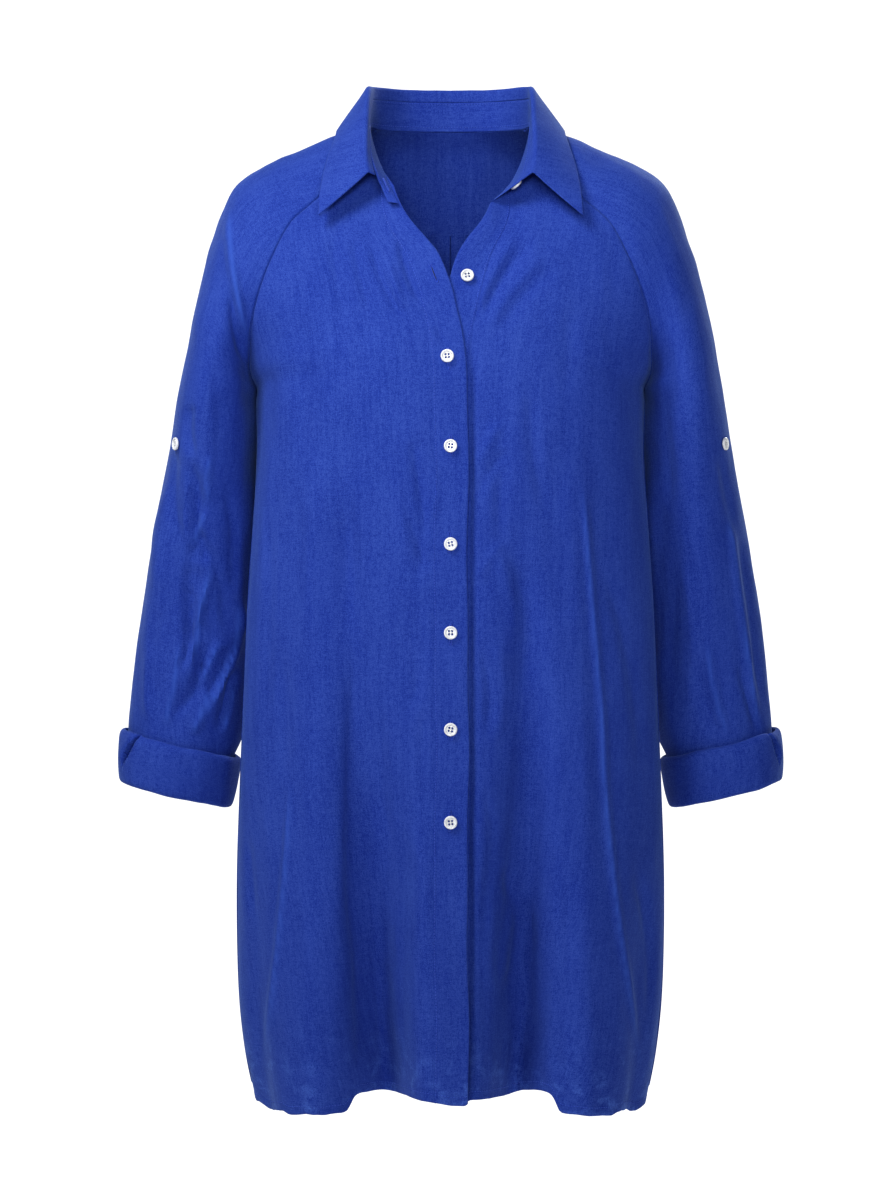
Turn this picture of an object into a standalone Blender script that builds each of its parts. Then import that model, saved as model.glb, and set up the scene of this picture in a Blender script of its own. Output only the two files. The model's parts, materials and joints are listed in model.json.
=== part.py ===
"""Oversized linen shirt with raglan sleeves, open collar and turned-up cuffs, filled out as if worn.

Tables and sizes are in millimetres and degrees; the objects are built in metres, +Z up.
The front faces -Y and the wearer's left is +X. The origin is the middle of the neck opening, level with the
shoulder points, where the wearer's neck and shoulders hold the shirt.

The cloth is laid out in rows, numbered as a knitter would number a top-down raglan: row 0 is the neckline,
row 9 passes under the arms, and the last row is the hem. Each row of a panel is one arc.
"""

import math

import bpy
import numpy as np
from mathutils import Vector

MM = 0.001

# Walls and gaps
CLOTH = 1.2
DOUBLE_CLOTH = 1.8
COLLAR_CLOTH = 2.0
SEAM_GAP = 0.3
SEAM_INSET = 0.28
NECK_GAP = 1.1
LEAF_GAP = 1.1
LAP_DROP = 2.8

# Folds fade out over these lengths, and the cloth rises or falls by this share of how far they push it
SEAM_FADE = 26.0
CENTRE_FADE = 34.0
HEM_LIFT = 0.07
HEM_DROP = 0.7

# Front bands, back and collar
BAND_WIDTH = 30.0
NECK_ROLL = 5.0
NECK_ROLL_WIDTH = 22.0
NECK_ROLL_END_ROW = 6
LAP_DROP_HEM = 5.0
LAP_LOOSE_ROW = 13
LAP_FLAT = 28.0
LAP_FADE = 45.0
YOKE_SEAM_ROW = 4.5
PLEAT_WIDTH = 38.0
PLEAT_HEIGHT = 5.0
PLEAT_SIDE = 8.0
PLEAT_RISE_ROWS = 0.3
STAND_SHARE = 0.7
LEAF_FOLD_RADIUS = 3.4
LEAF_BOW = 3.0
COLLAR_STEPS = 23

# Buttons
BUTTON_DIAMETER = 11.8
BUTTON_THICKNESS = 2.6
BUTTON_STEPS = 14
BUTTON_PROFILE = (
    # radius_share, thickness_share
    (0.0, 0.62),
    (0.66, 0.62),
    (0.76, 0.96),
    (0.9, 1.0),
    (1.0, 0.72),
    (1.0, 0.3),
    (0.82, 0.0),
    (0.0, 0.0),
)
STAND_BUTTON_SHARE = 0.4

# Turned-up cuffs: the profile of the roll down from the sleeve's end, round and up, as the distance below the
# end and the distance out from the sleeve's face.
CUFF_WALL = 2.0
CUFF_RINGS = 21
CUFF_PROFILE = (
    # below, out
    (0.3, 0.0),
    (3.5, 0.4),
    (6.3, 2.6),
    (6.6, 5.6),
    (4.0, 8.2),
    (-8.0, 9.2),
    (-22.0, 9.0),
    (-33.0, 8.2),
    (-38.0, 6.4),
    (-40.0, 4.2),
)
VENT_TURN = -0.2
VENT_WIDTH = 0.055
VENT_DEPTH = 4.0

UNDERARM_ROW = 9
HEM_ROW = 18
YOKE_STEPS = 12
BODY_STEPS = 18
SLEEVE_STEPS = 11
FINE = 181
BAND_COLUMNS = 4
PANEL_COLUMNS = 16
BACK_COLUMNS = 14
SLEEVE_COLUMNS = 19

LINEN = {"Base Color": (0.022, 0.052, 0.42, 1.0), "Roughness": 0.85, "Metallic": 0.0}
WHITE_BUTTON = {"Base Color": (0.86, 0.87, 0.9, 1.0), "Roughness": 0.3, "Metallic": 0.0}

# Rings of the wearer's right sleeve. The crown is the ring's outermost point, drop the distance from it to the
# ring's other side, tilt how far that side hangs below the crown, front and back the half depths, turn how far
# the cloth reaches round on each side of the crown, and slope the rise of the ring from front to back.
SLEEVE_RINGS = (
    # crown_x, crown_y, crown_z, tilt, drop, front, back, turn, slope
    (-75, -5, 3, 56, 8.8, 36.5, 35, 50, 0.49),
    (-108, -2, -1, 70, 33, 55, 60, 57, 0.24),
    (-143, 1, -15, 66, 48.6, 71, 71, 63, 0.15),
    (-175, 3, -29, 62, 62.5, 78, 78, 70, 0.09),
    (-199, 4, -46, 62, 80, 79, 79, 80, 0.06),
    (-212, 5, -71, 61, 83, 77, 77, 93, 0.04),
    (-222, 6, -101, 59, 82.5, 74.5, 76, 112, 0.03),
    (-231, 8, -137, 53, 78.6, 74.7, 76, 138, 0.02),
    (-241, 8, -180, 38.6, 73, 75, 76, 162, 0.01),
    (-254, 8, -240, 4.7, 73.2, 73, 77, 180, 0.0),
    (-262, 18, -285, 7, 81.5, 73, 76, 180, 0.0),
    (-272.5, 33, -335, 9, 97, 72, 72, 180, 0.0),
    (-283.5, 42, -390, 10, 105, 68, 68, 180, 0.0),
    (-292.5, 46, -440, 11, 111, 63, 63, 180, 0.0),
    (-299, 46, -490, 12.5, 114, 57, 57, 180, 0.0),
    (-302.5, 43, -530, 14, 111, 51, 51, 180, 0.0),
    (-304, 40, -560, 14.5, 101, 47, 47, 180, 0.0),
    (-304, 38, -595, 14.5, 93, 44, 44, 180, 0.0),
)

# Rows of the fronts: depth and height at the centre line, how far the arc wraps round to the seam, how square it
# is (1 is round), and how far from the centre line the front edge lies on each side. A negative edge is past the
# centre line, over or under the other front.
FRONT_ROWS = (
    # centre_y, centre_z, wrap, square, right_edge, left_edge
    (-84, -88, 68, 1, 51, 36),
    (-88, -98, 64, 1, 36, 25),
    (-93, -109, 62, 1, 23, 15),
    (-98, -122, 62, 1, 12, 7),
    (-103, -137, 64, 1, 5, 1.5),
    (-108, -154, 68, 1, -1, -3),
    (-112, -172, 74, 1.05, -5, -7),
    (-116, -192, 81, 1.15, -9.5, -11),
    (-119, -215, 87, 1.28, -12, -13.5),
    (-121, -246, 90, 1.35, -13.5, -14.5),
    (-122, -300, 90, 1.22, -15, -15),
    (-121, -360, 90, 1.08, -15, -15),
    (-120, -430, 90, 1, -15, -15),
    (-120, -510, 90, 1, -15, -15),
    (-120, -600, 90, 1, -15, -15),
    (-121, -690, 90, 1, -15, -15),
    (-121, -780, 90, 1, -15, -15),
    (-121, -845, 90, 1, -15, -15),
    (-121, -880, 90, 1, -15, -15),
)

# Rows of the back: depth and height at the centre line, and the wrap and squareness of the arc.
BACK_ROWS = (
    # centre_y, centre_z, wrap, square
    (64, 13, 78, 1),
    (73, -4, 72, 1),
    (80, -23, 68, 1),
    (87, -45, 66, 1),
    (93, -69, 66, 1),
    (98, -95, 70, 1),
    (102, -124, 76, 1),
    (105, -156, 82, 1.05),
    (107, -194, 87, 1.15),
    (108, -246, 90, 1.28),
    (107, -300, 90, 1.22),
    (107, -360, 90, 1.12),
    (108, -430, 90, 1.04),
    (110, -510, 90, 1),
    (112, -600, 90, 1),
    (114, -690, 90, 1),
    (116, -780, 90, 1),
    (117, -845, 90, 1),
    (118, -890, 90, 1),
)

# The side seam below the arms, for rows 9 to the hem.
SIDE_ROWS = (
    # half_width, side_y, side_z
    (181, 8, -246),
    (179, -8, -300),
    (182, -18, -360),
    (186.5, -22, -430),
    (190, -22, -510),
    (194, -18, -600),
    (197, -12, -690),
    (196, -8, -780),
    (191, -5, -845),
    (183, -2, -892),
)

# Soft folds that run down to the hem. Offsets are measured along the row from the centre line, and push is the
# depth at the hem, inwards where it is negative. Near is the width towards the centre line, far away from it.
FOLDS = (
    # panel, top_row, offset_top, offset_hem, push, near, far
    ("right", 11.0, 72, 77, -62, 40, 17),
    ("right", 11.5, 120, 127, 13, 20, 56),
    ("right", 13.0, 190, 192, -8, 22, 18),
    ("left", 11.5, 76, 78, -60, 40, 17),
    ("left", 11.5, 121, 128, 13, 20, 56),
    ("left", 13.0, 192, 192, -8, 22, 18),
    ("back", 11.0, 74, 80, -38, 34, 30),
    ("back", 12.0, 158, 160, -24, 26, 24),
    ("back", 12.0, 118, 120, 8, 26, 26),
)

# The collar's right half, from the centre back (0) to the front end of the stand (1): the fold line along its
# top, and the outer edge of the leaf, which ends in the point.
COLLAR_ROWS = (
    # along, fold_x, fold_y, fold_z, edge_x, edge_y, edge_z
    (0.0, 0, 66, 54, 0, 88, 6),
    (0.19, -42, 58, 53.5, -50, 81, 5),
    (0.37, -70, 26, 50, -88, 55, 2),
    (0.5, -74, -5, 42, -104, 6, 5),
    (0.66, -75.5, -38, 14, -107, -24, -6),
    (0.8, -77, -60, -14, -115, -52, -38),
    (0.91, -77, -72, -33, -118.5, -75, -65),
    (1.0, -75.5, -80, -46, -119, -89, -86),
)

# Front buttons, from the top: which front carries it, the height of its centre and how far it stands off.
FRONT_BUTTONS = (
    # front, height, lift
    ("left", -143.0, 1.3),
    ("right", -216.0, 0.4),
    ("right", -296.0, 0.3),
    ("right", -382.0, 0.3),
    ("right", -462.0, 0.3),
    ("right", -547.0, 0.3),
    ("right", -629.0, 0.3),
)
SLEEVE_BUTTON_ROW = 10.05
SLEEVE_BUTTON_TURN = -0.24


def smooth(rows, at):
    """The columns of a table read between its rows, on smooth curves."""
    rows = np.asarray(rows, float)
    slopes = np.gradient(rows, axis=0)
    at = np.clip(np.atleast_1d(at), 0, len(rows) - 1)
    row = np.minimum(at.astype(int), len(rows) - 2)
    t = (at - row)[:, None]
    stay, leave, arrive = (1 + 2 * t) * (1 - t) ** 2, t * (1 - t) ** 2, t * t * (t - 1)
    ahead = 1 - stay
    return rows[row] * stay + rows[row + 1] * ahead + slopes[row] * leave + slopes[row + 1] * arrive


def ease(t):
    """0 to 1, starting and ending gently."""
    t = np.clip(t, 0, 1)
    return t * t * (3 - 2 * t)


def normals(points):
    """Unit normals of a grid of points, from its rows (down) and columns (across)."""
    down = np.gradient(points, axis=0)
    across = np.gradient(points, axis=1)
    normal = np.cross(across, down)
    return normal / np.maximum(np.linalg.norm(normal, axis=2, keepdims=True), 1e-9)


def lengths_of(curves):
    """Distance along each row of points."""
    steps = np.linalg.norm(np.diff(curves, axis=1), axis=2)
    return np.concatenate([np.zeros((len(curves), 1)), np.cumsum(steps, axis=1)], axis=1)


def resample(curves, shares, start=0.0, end=0.0):
    """Each row of points read again at these shares of its length, start and end short of its own ends."""
    along = lengths_of(curves)
    made = np.empty((len(curves), len(shares), 3))
    for i, (curve, length) in enumerate(zip(curves, along)):
        wanted = start + (length[-1] - start - end) * np.asarray(shares)
        for axis in range(3):
            made[i, :, axis] = np.interp(wanted, length, curve[:, axis])
    return made


def mirrored(points):
    """The same grid for the wearer's left, with its columns turned round so that it still faces out."""
    return points[:, ::-1] * np.array([-1.0, 1.0, 1.0])


def sleeve_surface(rows, turns):
    """Points of the right sleeve, from the front seam (turn -1) over the crown (0) to the back seam (1)."""
    columns = smooth(SLEEVE_RINGS, rows)[:, :, None]
    crown_x, crown_y, crown_z, tilt, drop, front, back, turn, slope = np.moveaxis(columns, 1, 0)
    tilt, turn = np.radians(tilt), np.radians(turn)
    angle = turn * turns[None, :]
    inward = drop / (1 - np.cos(turn)) * (1 - np.cos(angle))
    depth = np.where(turns[None, :] < 0, front, back)
    y = depth * np.sin(angle)
    return np.stack(
        [crown_x + inward * np.cos(tilt), crown_y + y, crown_z - inward * np.sin(tilt) + slope * y], axis=2
    )


def seam_points(rows, turn):
    """The edge that a body panel shares: the raglan seam down to the underarm, then the side seam."""
    raglan = sleeve_surface(np.minimum(rows, UNDERARM_ROW), np.array([turn]))[:, 0]
    half, y, z = smooth(SIDE_ROWS, rows - UNDERARM_ROW).T
    side = np.stack([-half, y, z], axis=1)
    return np.where((rows <= UNDERARM_ROW)[:, None], raglan, side)


def arc(centre_y, centre_z, wrap, square, seam, angles):
    """Rows of points on arcs that cross the centre line level and end on the seam."""
    reach = ((1 - np.cos(angles)) / (1 - np.cos(wrap))) ** square
    x = seam[:, :1] * np.sin(angles) / np.sin(wrap)
    y = centre_y + (seam[:, 1:2] - centre_y) * reach
    z = centre_z + (seam[:, 2:3] - centre_z) * reach
    return np.stack([x, y, z], axis=2)


def folded(points, rows, offsets, panel):
    """The panel's points moved in or out by its folds, up where the cloth runs in and down where it runs out.

    The folds fade out at the side seam and at the centre line, where the band or the pleat stays flat.
    """
    push = np.zeros(offsets.shape)
    for name, top, offset_top, offset_hem, depth, near, far in FOLDS:
        if name != panel:
            continue
        down = np.clip((rows - top) / (HEM_ROW - top), 0, 1)[:, None]
        from_middle = offsets - (offset_top + (offset_hem - offset_top) * down)
        width = np.where(from_middle < 0, near, far) * (0.75 + 0.25 * down)
        push += depth * ease(down) ** 1.2 * np.exp(-((from_middle / width) ** 2))
    push *= ease((offsets[:, -1:] - offsets) / SEAM_FADE) * ease((offsets - BAND_WIDTH / 2 + 2) / CENTRE_FADE)
    facing = normals(points) if panel != "back" else -normals(points)
    points = points + facing * push[:, :, None]
    points[:, :, 2] += HEM_LIFT * np.maximum(-push, 0) - HEM_DROP * np.maximum(push, 0)
    return points


def front_surface(side, rows):
    """Fine rows of a front of the wearer's right or left, from its front edge to the seam, on the -X side."""
    columns = smooth(FRONT_ROWS, rows)
    centre_y, centre_z, wrap, square = (columns[:, [k]] for k in range(4))
    edge = columns[:, [4 if side == "right" else 5]]
    wrap = np.radians(wrap)
    seam = seam_points(rows, -1.0)
    first = -np.arcsin(edge * np.sin(wrap) / seam[:, :1])
    angles = first + (wrap - first) * np.linspace(0, 1, FINE)[None, :]
    points = arc(centre_y, centre_z, wrap, square, seam, angles)
    flat = np.concatenate([points[:, :, :2], np.zeros(points.shape[:2] + (1,))], axis=2)
    offsets = lengths_of(flat) + edge
    points = folded(points, rows, offsets, side)
    from_edge = lengths_of(points)
    rolled = ease((NECK_ROLL_END_ROW - rows) / (NECK_ROLL_END_ROW - 1))[:, None]
    roll = NECK_ROLL * rolled * np.exp(-((from_edge / NECK_ROLL_WIDTH) ** 2))
    if side == "left":
        sunk = LAP_DROP + LAP_DROP_HEM * ease((rows - LAP_LOOSE_ROW) / (HEM_ROW - 1 - LAP_LOOSE_ROW))
        shown = np.where(rows[:, None] < NECK_ROLL_END_ROW - 2, roll, 0)
        roll = shown - sunk[:, None] * (1 - ease((from_edge - LAP_FLAT) / LAP_FADE))
    return points + normals(points) * roll[:, :, None]


def back_surface(rows):
    """Fine rows of the back's right half, from the seam on the -X side to the centre back."""
    centre_y, centre_z, wrap, square = (smooth(BACK_ROWS, rows)[:, [k]] for k in range(4))
    wrap = np.radians(wrap)
    seam = seam_points(rows, 1.0)
    angles = wrap * np.linspace(1, 0, FINE)[None, :]
    points = arc(centre_y, centre_z, wrap, square, seam, angles)
    along = lengths_of(points)
    offsets = along[:, -1:] - along
    points = folded(points[:, ::-1], rows, offsets[:, ::-1], "back")[:, ::-1]
    across = 1 - ease((offsets - PLEAT_WIDTH / 2 + PLEAT_SIDE / 2) / PLEAT_SIDE)
    pleat = PLEAT_HEIGHT * across * ease((rows - YOKE_SEAM_ROW) / PLEAT_RISE_ROWS)[:, None]
    return points + normals(points) * pleat[:, :, None]


def add_mesh(name, points, faces, finish):
    """A new object in the shirt's collection, with a material of its own in this finish."""
    mesh = bpy.data.meshes.new(name)
    mesh.from_pydata([tuple(p * MM) for p in points], [], faces)
    mesh.update()
    mesh.shade_smooth()
    made = bpy.data.objects.new(name, mesh)
    SHIRT.objects.link(made)
    own = bpy.data.materials.new(name)
    own.use_nodes = True
    shader = own.node_tree.nodes["Principled BSDF"]
    for setting, value in finish.items():
        shader.inputs[setting].default_value = value
    mesh.materials.append(own)
    return made


def add_cloth(name, points, wall, finish, closed_below=None, offset=-1.0):
    """A wall of cloth on a grid of points. Rows from closed_below on are rings, whose two ends are one column."""
    count, across = points.shape[:2]
    index = np.arange(count * across).reshape(count, across)
    if closed_below is not None:
        index[closed_below:, -1] = index[closed_below:, 0]
    faces = [
        (index[i, j + 1], index[i + 1, j + 1], index[i + 1, j], index[i, j])
        for i in range(count - 1)
        for j in range(across - 1)
    ]
    used, faces = np.unique(np.array(faces), return_inverse=True)
    made = add_mesh(name, points.reshape(-1, 3)[used], faces.reshape(-1, 4).tolist(), finish)
    shell = made.modifiers.new("Wall", "SOLIDIFY")
    shell.thickness = wall * MM
    shell.offset = offset
    return made


def add_fronts(finish):
    """Both fronts and the bands on their edges."""
    for side in ("right", "left"):
        points = front_surface(side, BODY_ROWS)
        widths = lengths_of(points)[:, -1]
        band = [resample(row[None], BAND_SHARES, end=width - BAND_WIDTH)[0] for row, width in zip(points, widths)]
        panel = resample(points, PANEL_SHARES, start=BAND_WIDTH + 2 * SEAM_INSET, end=SEAM_INSET)
        for name, grid, wall in (("front_band_", np.array(band), DOUBLE_CLOTH), ("front_", panel, CLOTH)):
            add_cloth(name + side, grid if side == "right" else mirrored(grid), wall, finish)


def add_back(finish):
    """The back yoke and, below its seam, the back with its box pleat."""
    for name, rows in (("back_yoke", BODY_ROWS[BODY_ROWS <= YOKE_SEAM_ROW]), ("back", BACK_ONLY_ROWS)):
        half = resample(back_surface(rows), np.linspace(0, 1, BACK_COLUMNS), start=SEAM_INSET)
        whole = np.concatenate([half, mirrored(half)[:, 1:]], axis=1)
        add_cloth(name, whole, CLOTH, finish)


def add_sleeve(side, finish):
    """A sleeve, open along the raglan seams and a tube below the underarm, its end inside the cuff."""
    turns = np.linspace(-1, 1, SLEEVE_COLUMNS)
    rows = np.concatenate([YOKE_ROWS, np.linspace(UNDERARM_ROW, len(SLEEVE_RINGS) - 1, SLEEVE_STEPS)[1:]])
    points = sleeve_surface(rows, turns)
    points -= normals(points) * SEAM_GAP
    inset = SEAM_INSET * (rows < UNDERARM_ROW)
    for end, step in ((0, 1), (-1, -2)):
        along = points[:, step] - points[:, end]
        points[:, end] += along / np.linalg.norm(along, axis=1, keepdims=True) * inset[:, None]
    closed = int(np.searchsorted(rows, UNDERARM_ROW))
    points[closed:, -1] = points[closed:, 0]
    add_cloth("sleeve_" + side, points if side == "right" else mirrored(points), CLOTH, finish, closed)


def neckline(side):
    """Fine points of the neck edge from the centre back to the front edge, on the -X side."""
    row = np.array([0.0, 0.01])
    back = back_surface(row)[0][::-1]
    sleeve = sleeve_surface(row, np.linspace(1, -1, FINE))[0]
    front = front_surface(side, row)[0][::-1]
    return np.concatenate([back, sleeve[1:-1], front])[None]


def collar_lines(side, shares):
    """The foot, fold and outer edge of one half of the collar at these shares of its length."""
    table = np.array(COLLAR_ROWS)
    row = np.interp(shares, table[:, 0], np.arange(len(table)))
    columns = smooth(COLLAR_ROWS, row)
    foot = resample(neckline(side), shares)[0] + np.array([0, 0, NECK_GAP])
    return foot, columns[:, 1:4], columns[:, 4:7]


def leaf_curve(foot, fold, edge):
    """Sections of the leaf: up from the stand's seam on the neck side, over the fold, and down to its edge."""
    rise = fold - foot
    height = np.linalg.norm(rise, axis=1, keepdims=True)
    up = rise / height
    out = edge - fold
    out = out - (out * up).sum(1, keepdims=True) * up
    out = out / np.linalg.norm(out, axis=1, keepdims=True)
    radius = LEAF_FOLD_RADIUS
    neck_side = out * (COLLAR_CLOTH / 2)
    seam = foot + up * (height * STAND_SHARE + LEAF_GAP) - neck_side
    crest = fold - up * radius - neck_side
    fall = (edge - fold) / np.linalg.norm(edge - fold, axis=1, keepdims=True)
    bend = np.arccos((fall * up).sum(1, keepdims=True))
    section = [seam, (seam + crest) / 2]
    for share in np.linspace(0, 1, 5):
        angle = bend * share
        section.append(crest + out * radius * (1 - np.cos(angle)) + up * radius * np.sin(angle))
    start = section[-1]
    bow = start + (edge - start) * 0.5 + out * LEAF_BOW
    for t in (0.25, 0.5, 0.75, 1.0):
        section.append((1 - t) ** 2 * start + 2 * t * (1 - t) * bow + t * t * edge)
    return np.stack(section)


def add_collar(finish):
    """The stand on the neck edge, and the leaf that folds over it."""
    shares = np.linspace(0, 1, COLLAR_STEPS)
    stands, leaves = [], []
    for side in ("right", "left"):
        foot, fold, edge = collar_lines(side, shares)
        top = foot + (fold - foot) * STAND_SHARE
        stand = np.stack([top, top + (foot - top) / 3, top + (foot - top) * 2 / 3, foot])
        leaf = leaf_curve(foot, fold, edge)
        if side == "left":
            stand, leaf = (grid * np.array([-1.0, 1.0, 1.0]) for grid in (stand, leaf))
        else:
            stand, leaf = stand[:, ::-1], leaf[:, ::-1]
        stands.append(stand)
        leaves.append(leaf)
    stand = np.concatenate([stands[0], stands[1][:, 1:]], axis=1)
    leaf = np.concatenate([leaves[0], leaves[1][:, 1:]], axis=1)
    add_cloth("collar_stand", stand[:, ::-1], COLLAR_CLOTH, finish, offset=0.0)
    add_cloth("collar_leaf", leaf, COLLAR_CLOTH, finish)


def add_cuff(side, finish):
    """The rolled cuff: down from the sleeve's end, round, and up outside it, pressed in where the vent is."""
    turns = np.linspace(-1, 1, CUFF_RINGS + 1)
    last = len(SLEEVE_RINGS) - 1
    rows = np.linspace(last - 1.2, last, 40)
    sleeve = sleeve_surface(rows, turns)
    out = normals(sleeve)
    sleeve = sleeve - out * SEAM_GAP
    down = sleeve[-1] - sleeve[-2]
    down /= np.linalg.norm(down, axis=1, keepdims=True)
    along = np.linalg.norm(sleeve[-1] - sleeve[0], axis=1).mean()
    grid = []
    for below, away in CUFF_PROFILE:
        if below >= 0:
            base, normal = sleeve[-1] + down * below, out[-1]
        else:
            at = (1 + below / along) * (len(rows) - 1)
            low = int(at)
            part = at - low
            base = sleeve[low] * (1 - part) + sleeve[low + 1] * part
            normal = out[low]
        press = VENT_DEPTH * np.exp(-(((turns - VENT_TURN) / VENT_WIDTH) ** 2)) * ease((-below - 6) / 16)
        grid.append(base + normal * (away - press)[:, None])
    grid = np.stack(grid)
    grid[:, -1] = grid[:, 0]
    add_cloth("cuff_" + side, grid if side == "right" else mirrored(grid), CUFF_WALL, finish, 0)


def add_button(name, centre, facing, finish, lift=SEAM_GAP):
    """A turned button with a raised rim, its back just off the cloth at the centre."""
    size = np.array([BUTTON_DIAMETER / 2, 0.0, BUTTON_THICKNESS])
    points = [np.array([share, 0.0, height]) * size for share, height in BUTTON_PROFILE]
    made = add_mesh(name, points, [], finish)
    made.data.edges.add(len(points) - 1)
    for i, edge in enumerate(made.data.edges):
        edge.vertices = (i, i + 1)
    turn = made.modifiers.new("Turned", "SCREW")
    turn.steps = BUTTON_STEPS
    turn.render_steps = BUTTON_STEPS
    turn.use_merge_vertices = True
    turn.merge_threshold = 0.00001
    made.rotation_mode = "QUATERNION"
    made.rotation_quaternion = Vector(facing).to_track_quat("Z", "Y")
    made.location = (centre + facing * lift) * MM


def front_spot(side, height):
    """The middle of a front band at this height, with the direction it faces."""
    rows = np.linspace(1, HEM_ROW - 1, 600)
    surface = front_surface(side, rows)
    along = lengths_of(surface)
    index = np.array([np.searchsorted(length, BAND_WIDTH / 2) for length in along])
    middle = surface[np.arange(len(rows)), index]
    row = int(np.argmin(np.abs(middle[:, 2] - height)))
    facing = normals(surface)[row, index[row]]
    point = middle[row]
    if side == "left":
        point, facing = point * np.array([-1, 1, 1]), facing * np.array([-1, 1, 1])
    return point, facing


def add_buttons(finish):
    for number, (side, height, lift) in enumerate(FRONT_BUTTONS, 1):
        point, facing = front_spot(side, height)
        add_button(f"button_front_{number}", point, facing, finish, lift)
    rows = SLEEVE_BUTTON_ROW + np.array([-0.02, 0.0, 0.02])
    turns = SLEEVE_BUTTON_TURN + np.array([-0.01, 0.0, 0.01])
    patch = sleeve_surface(rows, turns)
    point, facing = patch[1, 1], normals(patch)[1, 1]
    for side, mirror in (("right", 1.0), ("left", -1.0)):
        flip = np.array([mirror, 1, 1])
        add_button("button_sleeve_" + side, point * flip, facing * flip, finish)
    foot, fold, _ = collar_lines("left", np.array([0.9, 0.94, 0.98]))
    grid = np.stack([foot, foot + (fold - foot) * STAND_BUTTON_SHARE, foot + (fold - foot)])
    facing = -normals(grid)[1, 1]
    if facing[0] > 0:
        facing = -facing
    point = grid[1, 1] + facing * COLLAR_CLOTH / 2
    flip = np.array([-1, 1, 1])
    add_button("button_stand", point * flip, facing * flip, finish)


def main():
    for old in list(bpy.data.objects):
        bpy.data.objects.remove(old)
    bpy.context.scene.collection.children.link(SHIRT)
    add_fronts(LINEN)
    add_back(LINEN)
    for side in ("right", "left"):
        add_sleeve(side, LINEN)
        add_cuff(side, LINEN)
    add_collar(LINEN)
    add_buttons(WHITE_BUTTON)


SHIRT = bpy.data.collections.new("Shirt")
BAND_SHARES = np.linspace(0, 1, BAND_COLUMNS)
PANEL_SHARES = np.linspace(0, 1, PANEL_COLUMNS) ** 1.2
YOKE_ROWS = np.linspace(0, UNDERARM_ROW, YOKE_STEPS + 1)
BODY_ROWS = np.concatenate([YOKE_ROWS, np.linspace(UNDERARM_ROW, HEM_ROW, BODY_STEPS + 1)[1:]])
BACK_ONLY_ROWS = np.concatenate([[YOKE_SEAM_ROW + 0.012], BODY_ROWS[BODY_ROWS > YOKE_SEAM_ROW]])
main()
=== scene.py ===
"""The oversized linen shirt as it looks: thin cloth, creases, sewing and buttons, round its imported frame.

Tables and sizes are in millimetres and degrees; the objects are built in metres, +Z up. The front faces -Y
and the wearer's left is +X. The origin is the middle of the neck opening, where the wearer's neck holds the
shirt up. Surfaces are made on the -X side, the wearer's right, and mirrored for the left.

The cloth is laid out in rows, numbered as a knitter would number a top-down raglan: row 0 is the neckline,
row 9 passes under the arms, and row 18 is the hem. These are the rows of the part's solids, read finer.
"""

import json
import math

import bmesh
import bpy
import numpy as np
from mathutils import Matrix, Vector, noise

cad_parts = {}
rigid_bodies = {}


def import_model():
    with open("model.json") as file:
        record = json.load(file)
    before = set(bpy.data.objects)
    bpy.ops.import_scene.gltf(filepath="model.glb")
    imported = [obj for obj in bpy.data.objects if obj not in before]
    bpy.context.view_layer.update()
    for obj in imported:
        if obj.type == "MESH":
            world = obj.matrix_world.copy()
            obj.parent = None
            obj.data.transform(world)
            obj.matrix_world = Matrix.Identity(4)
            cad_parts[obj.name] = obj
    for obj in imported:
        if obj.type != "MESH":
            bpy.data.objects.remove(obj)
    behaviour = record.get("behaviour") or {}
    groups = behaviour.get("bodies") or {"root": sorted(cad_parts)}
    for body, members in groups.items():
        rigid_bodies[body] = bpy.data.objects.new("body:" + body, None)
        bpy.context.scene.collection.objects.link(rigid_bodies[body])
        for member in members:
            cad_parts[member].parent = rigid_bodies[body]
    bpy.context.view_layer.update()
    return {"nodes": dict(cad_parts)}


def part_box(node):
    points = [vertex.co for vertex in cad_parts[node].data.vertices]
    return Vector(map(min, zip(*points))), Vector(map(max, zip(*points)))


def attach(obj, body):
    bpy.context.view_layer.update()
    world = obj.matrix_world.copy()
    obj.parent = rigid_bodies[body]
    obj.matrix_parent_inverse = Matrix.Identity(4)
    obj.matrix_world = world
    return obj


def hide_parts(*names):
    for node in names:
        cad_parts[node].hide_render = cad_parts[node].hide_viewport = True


bl_info = {
    "name": "Oversized linen shirt",
    "version": (1, 0, 0),
    "blender": (4, 5, 0),
    "location": "3D View > Sidebar > Shirt",
    "description": "Builds the cloth, sewing, buttons and studio of an oversized linen shirt",
    "category": "Object",
}

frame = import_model()
MM = 0.001

# What takes a place on the -X side to the side of the shirt that it belongs to
TO_SIDE = {"right": np.array([1.0, 1, 1]), "left": np.array([-1.0, 1, 1])}

# The shirt's form. Most sizes are the solids' own, but the cloth is thinner and its seams sit closer.
COLLAR_CLOTH = 2.0
STAND_HALF = COLLAR_CLOTH / 2 - 0.1
LEAF_CLOTH = 1.5
LEAF_EDGE = 0.5
CUFF_CLOTH = 0.9
PLEAT_CLOTH = 0.5
SEAM_GAP = 0.3
NECK_GAP = 0.25
LEAF_SEAM = -0.1
LAP_DROP = 2.8
SEAM_FADE = 26.0
CENTRE_FADE = 34.0
FOLD_TOP_WIDTH = 0.75
FOLD_RISE = 1.2
FOLD_CLEAR = 2.0
HEM_LIFT = 0.07
HEM_DROP = 0.7
BAND_WIDTH = 30.0
NECK_ROLL = 5.0
NECK_ROLL_WIDTH = 22.0
NECK_ROLL_END_ROW = 6
LAP_DROP_HEM = 5.0
LAP_LOOSE_ROW = 13
LAP_FLAT = 28.0
LAP_FADE = 45.0
LAP_TROUGH = 4.8
LAP_TROUGH_AT = 32.0
LAP_TROUGH_WIDTH = 4.6
YOKE_SEAM_ROW = 4.5
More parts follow.
